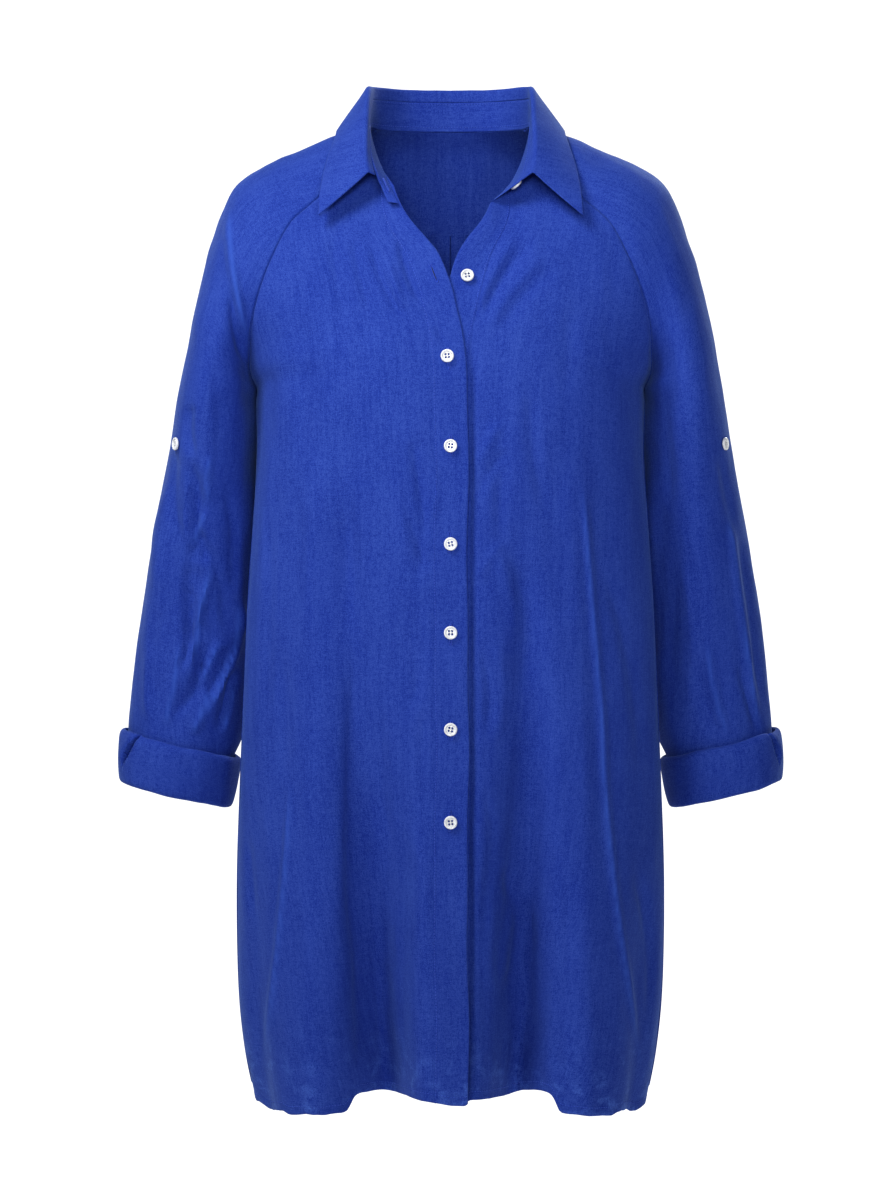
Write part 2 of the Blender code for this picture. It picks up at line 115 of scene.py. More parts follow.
YOKE_LAP_ROWS = 0.02
BACK_LAP_ROWS = 0.12
PLEAT_WIDTH = 38.0
PLEAT_HEIGHT = 5.0
PLEAT_SIDE = 5.0
PLEAT_RISE_ROWS = 0.12
STAND_SHARE = 0.7
LEAF_FOLD_RADIUS = 3.4
LEAF_BOW = 3.0
UNDERARM_ROW = 9
HEM_ROW = 18
FINE_POINTS = 241

# How closely the cloth is meshed, and how far its edges are turned under. An allowance is a list of places,
# each so far back from the edge and so far in: laid back under its own cloth, or across under the next piece.
LINE_SAMPLES = 500
ROW_STEP = 3.3
EDGE_STEP = 1.3
EDGE_ZONE = 14.0
PANEL_ACROSS = 84
BACK_ACROSS = 76
SLEEVE_ACROSS = 104
SEAM_INSET = 0.12
TUCK = 6.0
TUCK_DEPTH = 0.5
TUCK_CLEAR = 1.0
TUCK_RISE = 4.0
FACING_DEPTH = 1.7
ALLOWANCE_STOPS = 12.0
ALLOWANCE_FADE = 6.0
ALLOWANCE_AT_HEM = 0.1
ALLOWANCE_CHANGE_ROWS = 0.5
UNDER_SLEEVE = 2.0
UNDER_SLEEVE_AT = (0.8, 2.4, 5.0)
UNDER_SLEEVE_ENDS = UNDERARM_ROW - 0.2
UNDER_SLEEVE_FROM = 0.7
UNDER_SLEEVE_POINTS = 40
ALLOWANCE_BACK = ((-0.1, 0.3), (0.0, 0.9), (1.0, 1.5), (4.0, FACING_DEPTH), (7.0, FACING_DEPTH))
ALLOWANCE_ACROSS = ((-0.05, 0.35), (0.05, 1.0), (-0.8, 1.95), (-2.2, 2.3), (-4.0, 2.6))
EDGE_TAPER = 12.0
HEM_FOLD = ((0.3, 0.35), (0.2, 0.9))
HEM_RISES = (1.0, 3.0, 5.5)
HEM_EDGE = 0.5
HEM_DEPTHS = (1.3, 1.35, 1.35, 1.3, 0.8)
BAND_FOLD = ((0.45, 1.35), (0.65, 0.85), (0.45, 0.35))
BAND_END_SUNK = 0.45
BAND_ACROSS = 15
BAND_WAVES = ((0.8, 46, 1), (0.5, 19, 0))
BAND_WAVE_FROM = -170.0
BAND_WAVE_FADE = 60.0
PLEAT_CLEAR = 1.0
PLEAT_STRIP = (
    # from_centre, share_of_height
    (0.25, 1),
    (1.2, 1),
    (4, 1),
    (7, 1),
    (10, 1),
    (13, 1),
    (PLEAT_WIDTH / 2 - 3, 0.75),
    (PLEAT_WIDTH / 2 + 0.5, 0.45),
    (PLEAT_WIDTH / 2 + 3, 0),
)

SLEEVE_RINGS = (
    # crown_x, crown_y, crown_z, tilt, drop, front, back, turn, slope
    (-75, -5, 3, 56, 8.8, 36.5, 35, 50, 0.49),
    (-108, -2, -1, 70, 33, 55, 60, 57, 0.24),
    (-143, 1, -15, 66, 48.6, 71, 71, 63, 0.15),
    (-175, 3, -29, 62, 62.5, 78, 78, 70, 0.09),
    (-199, 4, -46, 62, 80, 79, 79, 80, 0.06),
    (-212, 5, -71, 61, 83, 77, 77, 93, 0.04),
    (-222, 6, -101, 59, 82.5, 74.5, 76, 112, 0.03),
    (-231, 8, -137, 53, 78.6, 74.7, 76, 138, 0.02),
    (-241, 8, -180, 38.6, 73, 75, 76, 162, 0.01),
    (-254, 8, -240, 4.7, 73.2, 73, 77, 180, 0.0),
    (-262, 18, -285, 7, 81.5, 73, 76, 180, 0.0),
    (-272.5, 33, -335, 9, 97, 72, 72, 180, 0.0),
    (-283.5, 42, -390, 10, 105, 68, 68, 180, 0.0),
    (-292.5, 46, -440, 11, 111, 63, 63, 180, 0.0),
    (-299, 46, -490, 12.5, 114, 57, 57, 180, 0.0),
    (-302.5, 43, -530, 14, 111, 51, 51, 180, 0.0),
    (-304, 40, -560, 14.5, 101, 47, 47, 180, 0.0),
    (-304, 38, -595, 14.5, 93, 44, 44, 180, 0.0),
)

FRONT_ROWS = (
    # centre_y, centre_z, wrap, square, right_edge, left_edge
    (-84, -88, 68, 1, 51, 36),
    (-88, -98, 64, 1, 36, 25),
    (-93, -109, 62, 1, 23, 15),
    (-98, -122, 62, 1, 12, 7),
    (-103, -137, 64, 1, 5, 1.5),
    (-108, -154, 68, 1, -1, -3),
    (-112, -172, 74, 1.05, -5, -7),
    (-116, -192, 81, 1.15, -9.5, -11),
    (-119, -215, 87, 1.28, -12, -13.5),
    (-121, -246, 90, 1.35, -13.5, -14.5),
    (-122, -300, 90, 1.22, -15, -15),
    (-121, -360, 90, 1.08, -15, -15),
    (-120, -430, 90, 1, -15, -15),
    (-120, -510, 90, 1, -15, -15),
    (-120, -600, 90, 1, -15, -15),
    (-121, -690, 90, 1, -15, -15),
    (-121, -780, 90, 1, -15, -15),
    (-121, -845, 90, 1, -15, -15),
    (-121, -880, 90, 1, -15, -15),
)

BACK_ROWS = (
    # centre_y, centre_z, wrap, square
    (64, 13, 78, 1),
    (73, -4, 72, 1),
    (80, -23, 68, 1),
    (87, -45, 66, 1),
    (93, -69, 66, 1),
    (98, -95, 70, 1),
    (102, -124, 76, 1),
    (105, -156, 82, 1.05),
    (107, -194, 87, 1.15),
    (108, -246, 90, 1.28),
    (107, -300, 90, 1.22),
    (107, -360, 90, 1.12),
    (108, -430, 90, 1.04),
    (110, -510, 90, 1),
    (112, -600, 90, 1),
    (114, -690, 90, 1),
    (116, -780, 90, 1),
    (117, -845, 90, 1),
    (118, -890, 90, 1),
)

SIDE_ROWS = (
    # half_width, side_y, side_z
    (181, 8, -246),
    (179, -8, -300),
    (182, -18, -360),
    (186.5, -22, -430),
    (190, -22, -510),
    (194, -18, -600),
    (197, -12, -690),
    (196, -8, -780),
    (191, -5, -845),
    (183, -2, -892),
)

FOLDS = (
    # panel, top_row, offset_top, offset_hem, push, near, far
    ("right", 11.0, 72, 77, -62, 40, 17),
    ("right", 11.5, 120, 127, 13, 20, 56),
    ("right", 13.0, 190, 192, -8, 22, 18),
    ("left", 11.5, 76, 78, -60, 40, 17),
    ("left", 11.5, 121, 128, 13, 20, 56),
    ("left", 13.0, 192, 192, -8, 22, 18),
    ("back", 11.0, 74, 80, -38, 34, 30),
    ("back", 12.0, 158, 160, -24, 26, 24),
    ("back", 12.0, 118, 120, 8, 26, 26),
)

COLLAR_ROWS = (
    # along, fold_x, fold_y, fold_z, edge_x, edge_y, edge_z
    (0.0, 0, 66, 54, 0, 88, 6),
    (0.19, -42, 58, 53.5, -50, 81, 5),
    (0.37, -70, 26, 50, -88, 55, 2),
    (0.5, -74, -5, 42, -104, 6, 5),
    (0.66, -75.5, -38, 14, -107, -24, -6),
    (0.8, -77, -60, -14, -115, -52, -38),
    (0.91, -77, -72, -33, -118.5, -75, -65),
    (1.0, -75.5, -80, -46, -119, -89, -86),
)

# How much lower the hem of the fronts hangs here than on a smooth line, where it dips and steps at the folds.
HEM_TRIM = (
    # x, lower
    (-184, 3), (-178, 4.5), (-172, 8.5), (-168, 11), (-163, 11), (-158, 3.8), (-153, 0),
    (-147, 1.4), (-140, 0), (-130, -2.2), (-120, 0.4), (-114, 3.5), (-108, 5.6), (-102, 9),
    (-97, 10), (-93, 9), (-90, 4), (-87, -2), (-82, -2.7), (-77, -1), (-72, 0), (-66, 1.8),
    (-60, 3.8), (-55, 4.4), (-48, 3), (-40, 0), (-32, -2.2), (-22, -2.7), (-12, -1.5), (0, 0.5),
    (13, 1), (18, -3), (25, -2.3), (33, -1), (39, 1), (44, 2.8), (50, 5.6), (55, 6.3), (61, 5),
    (66, 2), (71, 0), (77, -3), (83, -4.8), (88, -5.3), (92, -4.4), (95, 1), (98, 8), (102, 9.8),
    (107, 7), (113, 3.6), (120, 1.4), (128, 0), (138, 0.2), (147, 2), (152, 0.8), (157, 2.6),
    (161, 7.5), (166, 13), (172, 12.5), (178, 9.5), (184, 6),
)
HEM_TRIM_ROW = 16.2
HEM_PINCH = 0.012
HEM_TRIM_SEAM = 4.5
HEM_TRIM_REACH = 30.0

# The turned-up cuff from the sleeve's end round the roll, up outside it, and in behind its own upper edge.
CUFF_PROFILE = (
    # below, out
    (0.3, 0.0),
    (3.5, 0.4),
    (6.3, 2.6),
    (6.6, 5.6),
    (4.0, 8.2),
    (-8.0, 9.2),
    (-22.0, 9.0),
    (-33.0, 8.2),
    (-38.0, 6.8),
    (-40.0, 4.6),
    (-39.0, 3.2),
    (-34.0, 2.9),
    (-27.0, 2.8),
)

FRONT_BUTTONS = (
    # front, height, lift
    ("left", -143.0, 1.3),
    ("right", -216.0, 0.4),
    ("right", -296.0, 0.3),
    ("right", -382.0, 0.3),
    ("right", -462.0, 0.3),
    ("right", -547.0, 0.3),
    ("right", -629.0, 0.3),
)
EMPTY_BUTTONHOLE_HEIGHT = -140.0
EMPTY_BUTTONHOLE_INSET = 11.5
BUTTON_LINE_SAMPLES = 600
SLEEVE_BUTTON_ROW = 10.05
SLEEVE_BUTTON_TURN = -0.24
STAND_BUTTON_SHARE = 0.4
STAND_BUTTON_AT = (0.9, 0.94, 0.98)

# How the creases run out, where a highlight, partly real wear, is painted along the sharp raised creases, and
# the soft waves in washed linen
CREASE_POINTS = 9
CREASE_TAPER = 0.25
CREASE_REACH = 3
CREASE_ROUND_BY = 0.2
CREASE_TURNS_IN = 0.5
SHARP_PUSH = 1.2
SHARP_WIDTH = 4
SHARP_SHARE = 0.45
WORN_HIGHLIGHT_FULL = 3.2
LONG_WAVE = (30, 30, 115)
SHORT_WAVE = (13, 13, 30)
SHORT_WAVE_SHARE = 0.4
SHORT_WAVE_START = 7

# How the seams sink in, the cuffs' slits open, the cloth calms under the buttons, and the stitching stands
SEAM_GROOVE = 1.0
SEAM_GROOVE_WIDTH = 1.0
SEAM_SHARES = np.array([0.9875, 0.993, 0.9965, 0.9985])
PLEAT_SHARES = np.array([0.915, 0.925, 0.932])
YOKE_STEP = 0.35
UNDERARM_FULLNESS = 4.0
UNDERARM_FULL_ROW = 9.6
UNDERARM_FULL_ROWS = 0.5
UNDERARM_RISE_ROWS = 0.4
UNDERARM_FULL_TURN = 0.2
NECK_CALM_ROWS = 1.5
SEAM_CALM = 0.12
CUFF_ACROSS = 141
CUFF_ROWS = 40
CUFF_REACH_ROWS = 1.2
CUFF_LAYERS = 61
CUFF_WAVES = ((0.9, 7, 1), (0.6, 17, 0), (0.3, 31, 2))
CUFF_LOOSE = 0.4
CUFF_EDGE_WAVE = 0.8
SLIT_ZONE = 0.12
SLIT_ACROSS = 51
SLIT_TURN = {"right": -0.215, "left": -0.175}
SLIT_SLANT = {"right": 0.125, "left": 0.095}
SLIT_FOOT = 8.0
SLIT_TOP = 38.0
SLIT_WIDTH = 0.0135
SLIT_DEPTH = 12.0
SLIT_FLOOR = 1.3
SLIT_LIP = 1.8
SLIT_LEAST_GAPE = 0.35
SLIT_GAPE_UP = 0.85
SLIT_RISE = 0.25
SLIT_LIP_RISE = 0.4
SLIT_LIP_AT = 2.6
SLIT_LIP_WIDTH = 0.045
COLLAR_ALONG = 110
STAND_AROUND = 33
STAND_END_THIN = 0.97
STAND_END_PINCH = 0.92
LEAF_RISE_SHARES = (0, 0.25, 0.5, 0.75)
LEAF_BEND_STEPS = 10
LEAF_FALL_STEPS = 18
LEAF_CREASED = 0.35
STAND_END_FROM = 0.86
STAND_ROUND_FROM = 0.93
STAND_END = ((-47.0, -83.5, -75.0), (-56.5, -81.5, -73.5))
YOKE_STITCH_UP = 1.6
HEM_STITCH_IN = 0.7
BAND_STITCH_IN = 1.4
BUTTON_CALM = 11.0
STAND_STITCH_LEVELS = (0.16, 0.93)
STAND_STITCH_POINTS = 120
BUTTON_PROFILE = (
    # radius_share, thickness_share
    (0.0, 0.62),
    (0.58, 0.62),
    (0.66, 0.58),
    (0.74, 0.92),
    (0.87, 1.0),
    (0.99, 0.76),
    (1.0, 0.34),
    (0.84, 0.02),
    (0.0, 0.0),
)
BUTTON_AROUND = 48
BUTTON_PROFILE_POINTS = 43
BUTTON_THICKNESS_SHARE = 0.22
HOLE_OUT = 1.35
HOLE_PLACES = ((HOLE_OUT, HOLE_OUT), (-HOLE_OUT, HOLE_OUT), (-HOLE_OUT, -HOLE_OUT), (HOLE_OUT, -HOLE_OUT))
HOLE_RADIUS = 1.05
DRILL_HEIGHT = 1.3
DRILL_LENGTH = 10.0
THREAD_HEIGHT = 1.55
THREAD_SUNK = 0.3
THREAD_WIDTH = 0.3
THREAD_ROUND = 0.4
STRAND_APART = 0.15
BUTTON_TURNS = (8, 4, -6, 12, 2, -10, 6, 20, -14, 30)

# A stitch as a spindle: its rings at these shares of its length, and of its full size
STITCH_RINGS = ((0.2, 0.8), (0.5, 1.0), (0.8, 0.8))
STITCH_POINT_SUNK = 0.12
STITCH_SUNK = 0.15
STITCH_LIFT = 0.1
STITCH_SHARE = 0.4
HOLE_STITCH_PITCH = 0.42
HOLE_STITCH_FROM = 0.35
HOLE_STITCH_TO = 1.4
HOLE_STITCH_WIDTH = 0.55
BAR_STEPS = (0, 0.45, 0.9)
SLIT_SHARE = 0.48
STAND_HOLE_AT = (0.915, 0.93, 0.945)
STAND_HOLE_SHARE = 0.85

# The linen's slubs, which add up to its shade. The dye is lighter or darker by these shares of its red, green
# and blue. The pale shares paint light showing through the thin cloth low on the shirt, and the worn shares
# paint a highlight, partly real wear, along the sharp raised creases.
SLUBS = (
    # across_cloth, down_cloth, detail, seed, weight
    (0.75, 6, 2, 3, 0.22),
    (4.5, 0.75, 2, 11, 0.17),
    (2.6, 38, 2, 19, 0.12),
    (45, 1.6, 2, 27, 0.05),
    (7, 150, 2, 33, 0.06),
    (0.7, 0.7, 1, 41, 0.42),
)
SLUB_MIDDLE = 0.55
THREADS_MIDDLE = 1.27
DARK_DYE = (0.3, 0.48, 0.74)
LIGHT_DYE = (3.0, 1.95, 1.3)
PAINTED_HEM_LIGHT = (4.0, 2.6, 1.5)
WORN_HIGHLIGHT_DYE = (2.6, 2.0, 1.4)

# The studio, in metres, with each light's power as a share of the key light's
FLOOR_HEIGHT = -1.5
FLOOR_RADIUS = 14
SHIRT_MIDDLE = (0, 0, -0.42)
SOFT_LIGHTS = (
    # name, place, size, power
    ("Key light", (-1.35, -1.15, 1.75), 1.1, 1),
    ("Side light", (-2.6, -1.2, 0.3), 1.2, 0.08),
    ("Front light", (0.6, -2.9, 0.4), 1.4, 0.5),
    ("Back light", (1.5, 2.4, 1.5), 1.4, 1.1),
    ("Back fill", (-1.6, 2.4, 0.2), 1.6, 0.3),
    ("Far side light", (2.9, 1.6, 0.7), 1.2, 0.16),
)
NECK_LIGHT_PLACE = (-0.25, -3.3, -0.05)
NECK_LIGHT_TARGET = (-0.04, 0, -0.08)
NECK_LIGHT_POWER = 3.2
NECK_LIGHT_SIZE = 0.4
NECK_LIGHT_ANGLE = 23
CAMERA_PLACE = (-0.0023, -2.6, -0.4322)
CAMERA_LENS = 83.87
CAMERA_SENSOR = 36

# Creases, as lines in the view from the front: a start, a middle and an end. Push is out where it is
# positive, and left and right are the widths on the two sides of the line. Each list is for one cloth's front
# or back.
FACES_FRONT = -1
FACES_BACK = 1
CREASES = {
    # start_x, start_z, mid_x, mid_z, end_x, end_z, push, left, right
    ("front", FACES_FRONT): (
        (-144, -590, -152, -708, -172, -868, 1.3, 3, 4),
        (-185, -645, -182, -686, -180, -724, -1.0, 4, 4),
        (-88, -468, -83, -610, -83, -753, -1.8, 12, 9),
        (-83, -681, -79, -770, -81, -859, -1.6, 7, 7),
        (-118, -317, -124, -397, -126, -513, 0.9, 9, 7),
        (-96, -255, -94, -344, -89, -468, -1.0, 9, 9),
        (-49, -397, -56, -504, -52, -610, 0.7, 9, 9),
        (-29, -301, -24, -361, -33, -432, -0.98, 5.5, 4.5),
        (-33, -429, -25, -477, -35, -536, -0.7, 5.5, 4.5),
        (-18, -521, -27, -575, -16, -637, -0.7, 5.5, 5.5),
        (-38, -628, -23, -681, -30, -744, 0.56, 6.5, 6.5),
        (-71, -114, -59, -150, -35, -192, -1.1, 4, 4),
        (-46, -105, -39, -137, -24, -173, -1.2, 4, 4),
        (-57, -123, -48, -157, -41, -176, 0.9, 4, 4),
        (-88, -105, -82, -139, -70, -182, -0.8, 4, 5),
        (-107, -99, -102, -144, -93, -192, -0.7, 5, 6),
        (-13, -189, -7, -200, 0, -207, -0.7, 3, 3),
        (-134, -166, -130, -237, -137, -317, -0.6, 9, 9),
        (-162, -272, -168, -361, -166, -468, 0.7, 8, 8),
        (-156, -468, -149, -539, -152, -601, -0.7, 8, 8),
        (22, -182, 38, -141, 64, -98, 1.0, 5, 7),
        (32, -200, 52, -160, 90, -118, 0.7, 5, 7),
        (30, -182, 49, -141, 78, -106, -0.8, 5, 5),
        (44, -196, 67, -159, 104, -130, -0.5, 6, 7),
        (107, -166, 105, -210, 103, -255, -0.5, 8, 8),
        (71, -237, 74, -299, 86, -361, -0.8, 6, 7),
        (41, -272, 32, -317, 38, -370, 0.63, 6.5, 5.5),
        (51, -299, 44, -344, 47, -397, -0.7, 5.5, 6.5),
        (38, -384, 53, -424, 59, -477, 0.7, 5.5, 6.5),
        (59, -397, 71, -455, 63, -521, -1.3, 7, 8),
        (32, -486, 49, -521, 41, -584, -0.63, 5.5, 6.5),
        (117, -320, 127, -441, 141, -600, 1.2, 3, 4),
        (134, -510, 146, -681, 178, -878, 1.4, 3, 4),
        (134, -397, 163, -495, 173, -610, -1.0, 6, 8),
        (165, -673, 182, -744, 179, -833, -1.6, 5, 6),
        (41, -655, 32, -699, 34, -751, -0.98, 5.5, 5.5),
        (45, -665, 66, -726, 49, -797, -1.8, 7, 6),
        (78, -665, 56, -726, 47, -788, 1.12, 5.5, 6.5),
        (97, -753, 95, -815, 96, -872, -0.8, 3, 5),
        (75, -704, 69, -775, 80, -841, -0.7, 6.5, 6.5),
        (91, -432, 97, -539, 89, -655, 0.6, 12, 12),
        (-94, -326, -88, -521, -80, -864, -2.6, 15, 12),
        (57, -344, 65, -575, 50, -824, -2.4, 13, 14),
        (-32, -290, -30, -317, -24, -361, -0.91, 4.5, 3.5),
        (-37, -352, -29, -384, -16, -410, -0.84, 3.5, 4.5),
        (-47, -317, -44, -361, -38, -402, 0.56, 4.5, 4.5),
        (-16, -304, -13, -335, -20, -370, 0.49, 3.5, 3.5),
        (-40, -450, -32, -493, -38, -539, -0.63, 4.5, 4.5),
        (-57, -521, -63, -593, -54, -655, -0.8, 6, 6),
        (21, -317, 32, -295, 47, -272, 0.84, 4.5, 4.5),
        (23, -344, 35, -317, 55, -296, -0.77, 4.5, 4.5),
        (23, -419, 33, -397, 49, -379, 0.63, 4.5, 4.5),
        (24, -477, 35, -513, 30, -559, -0.91, 4.5, 4.5),
        (37, -468, 47, -513, 41, -566, 0.7, 4.5, 5.5),
        (26, -593, 37, -637, 30, -681, -0.77, 4.5, 4.5),
        (40, -699, 34, -744, 39, -788, 0.84, 4.5, 5.5),
        (24, -757, 30, -797, 26, -843, -0.7, 4.5, 4.5),
        (106, -664, 103, -753, 106, -850, -0.9, 7, 7),
        (-134, -664, -128, -753, -134, -850, 0.7, 8, 8),
        (-45, -699, -50, -779, -45, -855, 0.8, 7, 7),
        (-168, -326, -164, -432, -171, -575, -0.8, 6, 6),
        (-123, -272, -121, -468, -128, -699, 1.0, 16, 14),
        (108, -281, 112, -468, 120, -699, 1.0, 14, 14),
    ),
    ("sleeve_right", FACES_FRONT): (
        (-203, -70, -197, -130, -183, -203, 1.5, 5, 4),
        (-200, -148, -195, -185, -186, -217, -1.8, 4, 4),
        (-189, -203, -184, -277, -188, -359, -1.2, 6, 5),
        (-222, -88, -227, -148, -234, -203, 0.8, 10, 10),
        (-218, -203, -210, -267, -215, -322, -1.0, 7, 9),
        (-235, -251, -240, -277, -234, -306, -1.6, 4, 5),
        (-241, -299, -233, -355, -245, -410, -2.8, 5, 6),
        (-235, -306, -244, -359, -231, -401, 0.9, 3, 3),
        (-227, -350, -232, -368, -241, -382, 1.5, 3, 4),
        (-239, -396, -245, -432, -239, -492, -2.4, 5, 7),
        (-218, -396, -233, -453, -237, -495, 2.0, 4, 4),
        (-230, -377, -212, -414, -211, -469, -1.3, 5, 5),
        (-259, -313, -267, -377, -269, -432, 1.2, 7, 6),
        (-196, -432, -202, -483, -234, -550, 2.0, 5, 4),
        (-203, -495, -207, -524, -217, -559, -2.4, 5, 4),
        (-267, -432, -276, -478, -274, -538, -1.2, 6, 6),
        (-225, -469, -234, -506, -257, -544, -1.6, 5, 5),
        (-234, -368, -227, -382, -230, -401, -2.2, 4, 4),
        (-245, -412, -240, -458, -256, -508, -1.8, 4, 4),
        (-223, -438, -235, -471, -227, -506, -1.6, 3, 4),
        (-212, -469, -222, -489, -234, -515, 1.6, 3, 3),
        (-193, -458, -215, -502, -234, -549, -1.9, 3, 4),
        (-203, -510, -206, -532, -213, -559, 1.4, 3, 3),
        (-224, -515, -230, -535, -241, -559, 1.5, 3, 4),
        (-276, -469, -281, -510, -279, -552, 1.2, 5, 5),
        (-250, -469, -257, -515, -267, -554, 1.3, 4, 4),
        (-252, -286, -256, -332, -252, -382, -1.2, 4, 5),
        (-207, -322, -200, -377, -204, -432, -1.2, 5, 4),
        (-193, -359, -197, -414, -192, -469, 1.0, 4, 4),
        (-217, -299, -223, -322, -220, -345, 1.3, 3, 4),
        (-234, -377, -226, -469, -241, -550, -1.8, 11, 10),
        (-267, -322, -274, -432, -276, -543, 1.2, 10, 10),
    ),
    ("sleeve_left", FACES_FRONT): (
        (222, -93, 232, -157, 240, -240, 1.1, 9, 8),
        (203, -185, 196, -267, 200, -359, -1.2, 6, 9),
        (215, -267, 210, -359, 206, -515, -0.9, 9, 9),
        (229, -341, 237, -423, 232, -524, 0.7, 9, 10),
        (255, -335, 268, -432, 292, -575, 1.4, 3, 4),
        (267, -359, 280, -442, 295, -552, -1.7, 4, 6),
        (245, -295, 255, -332, 261, -377, -1.1, 5, 5),
        (222, -478, 234, -524, 249, -566, -1.0, 6, 6),
        (214, -396, 225, -469, 220, -543, 1.0, 5, 5),
        (238, -469, 244, -515, 259, -563, 1.2, 4, 4),
        (188, -322, 192, -414, 189, -506, -1.0, 5, 6),
        (267, -488, 277, -524, 288, -559, -1.3, 3, 4),
        (196, -277, 200, -396, 207, -552, -1.5, 10, 9),
    ),
    ("cuff_right", FACES_FRONT): (
        (-247, -572, -248, -583, -251, -596, -1.0, 2, 3),
        (-230, -588, -226, -601, -228, -616, 0.7, 4, 4),
        (-276, -585, -270, -596, -274, -609, 0.7, 4, 5),
    ),
    ("cuff_left", FACES_FRONT): (
        (229, -583, 232, -598, 228, -614, 0.7, 5, 5),
        (273, -572, 276, -587, 272, -603, -0.8, 4, 4),
    ),
    ("back", FACES_BACK): (
        (-96, -330, -104, -470, -112, -640, -1.6, 7, 9),
        (88, -300, 97, -420, 92, -590, -1.4, 8, 7),
        (-48, -180, -58, -290, -53, -400, 1.2, 7, 7),
        (52, -210, 63, -330, 60, -450, -1.1, 6, 8),
        (-140, -560, -150, -680, -166, -830, 2.4, 5, 7),
        (138, -520, 150, -650, 168, -820, 2.2, 7, 5),
        (-66, -560, -60, -690, -70, -840, -1.7, 8, 8),
        (70, -600, 62, -720, 66, -850, 1.5, 8, 8),
        (-120, -150, -128, -210, -150, -280, -1.0, 6, 6),
        (118, -140, 130, -200, 154, -270, -1.1, 6, 6),
        (-30, -420, -36, -560, -30, -720, 0.9, 9, 9),
        (34, -520, 30, -640, 36, -760, -0.9, 8, 8),
    ),
    ("sleeve_right", FACES_BACK): (
        (-214, -150, -222, -230, -226, -320, -1.5, 7, 8),
        (-246, -330, -252, -400, -246, -470, -2.0, 6, 6),
        (-206, -380, -214, -450, -236, -540, 1.8, 5, 6),
        (-262, -420, -272, -480, -276, -550, 1.4, 6, 5),
        (-222, -300, -212, -340, -206, -390, -1.3, 5, 6),
    ),
    ("sleeve_left", FACES_BACK): (
        (216, -140, 224, -220, 230, -310, -1.4, 8, 7),
        (244, -300, 256, -380, 262, -460, -1.7, 6, 6),
        (208, -400, 218, -470, 236, -550, 1.6, 6, 5),
        (266, -400, 276, -470, 284, -550, 1.3, 5, 6),
    ),
}


def smooth(rows, at):
    """The columns of a table read between its rows, on smooth curves."""
    rows = np.asarray(rows, float)
    slopes = np.gradient(rows, axis=0)
    at = np.clip(np.atleast_1d(at), 0, len(rows) - 1)
    row = np.minimum(at.astype(int), len(rows) - 2)
    t = (at - row)[:, None]
    stay, leave, arrive = (1 + 2 * t) * (1 - t) ** 2, t * (1 - t) ** 2, t * t * (t - 1)
    ahead = 1 - stay
    return rows[row] * stay + rows[row + 1] * ahead + slopes[row] * leave + slopes[row + 1] * arrive


def ease(t):
    """0 to 1, starting and ending gently."""
    t = np.clip(t, 0, 1)
    return t * t * (3 - 2 * t)


def unit(vectors):
    """The same vectors, each one long."""
    return vectors / np.maximum(np.linalg.norm(vectors, axis=-1, keepdims=True), 1e-9)


def normals(points):
    """Unit normals of a grid of points, from its rows (down) and columns (across)."""
    return unit(np.cross(np.gradient(points, axis=1), np.gradient(points, axis=0)))


def lengths_of(curves):
    """Distance along each row of points."""
    steps = np.linalg.norm(np.diff(curves, axis=1), axis=2)
    return np.concatenate([np.zeros((len(curves), 1)), np.cumsum(steps, axis=1)], axis=1)


def at_lengths(curves, wanted, read=None):
    """Each row of points read at distances along it: one list of them for all rows, or one a row.

    Where another grid is given to read, its values are read at those places instead.
    """
    wanted = np.broadcast_to(np.asarray(wanted, float), (len(curves), np.shape(wanted)[-1]))
    made = np.empty(wanted.shape + (3,))
    for i, (row, length) in enumerate(zip(curves if read is None else read, lengths_of(curves))):
        for axis in range(3):
            made[i, :, axis] = np.interp(wanted[i], length, row[:, axis])
    return made


def resample(curves, shares, start=0.0, end=0.0):
    """Each row of points read again at these shares of its length, start and end short of its own ends."""
    total = lengths_of(curves)[:, -1:]
    return at_lengths(curves, start + (total - start - end) * np.asarray(shares)[None, :])


def mirrored(points):
    """The same grid for the wearer's left, with its columns turned round so that it still faces out."""
    return points[:, ::-1] * TO_SIDE["left"]


def even_rows(line_at, first, last, step=ROW_STEP, fine_end=False):
    """Row numbers that lie a step apart along a line of the cloth, closer together at the hem."""
    rows = np.linspace(first, last, LINE_SAMPLES)
    along = lengths_of(line_at(rows)[None])[0]
    wanted = np.linspace(0, along[-1], int(along[-1] / step) + 1)
    if fine_end:
        fine_from = along[-1] - EDGE_ZONE
        finer = np.arange(fine_from, along[-1], EDGE_STEP)
        wanted = np.concatenate([wanted[wanted < fine_from], finer, along[-1:]])
    return np.interp(wanted, along, rows)


def sleeve_surface(rows, turns):
    """Points of the right sleeve, from the front seam (turn -1) over the crown (0) to the back seam (1)."""
    columns = smooth(SLEEVE_RINGS, rows)[:, :, None]
    crown_x, crown_y, crown_z, tilt, drop, front, back, turn, slope = np.moveaxis(columns, 1, 0)
    tilt, turn = np.radians(tilt), np.radians(turn)
    angle = turn * turns[None, :]
    inward = drop / (1 - np.cos(turn)) * (1 - np.cos(angle))
    depth = np.where(turns[None, :] < 0, front, back)
    y = depth * np.sin(angle)
    return np.stack(
        [crown_x + inward * np.cos(tilt), crown_y + y, crown_z - inward * np.sin(tilt) + slope * y], axis=2
    )


def seam_points(rows, turn):
    """The edge that a body panel shares: the raglan seam down to the underarm, then the side seam."""
    raglan = sleeve_surface(np.minimum(rows, UNDERARM_ROW), np.array([turn]))[:, 0]
    half, y, z = smooth(SIDE_ROWS, rows - UNDERARM_ROW).T
    side = np.stack([-half, y, z], axis=1)
    return np.where((rows <= UNDERARM_ROW)[:, None], raglan, side)


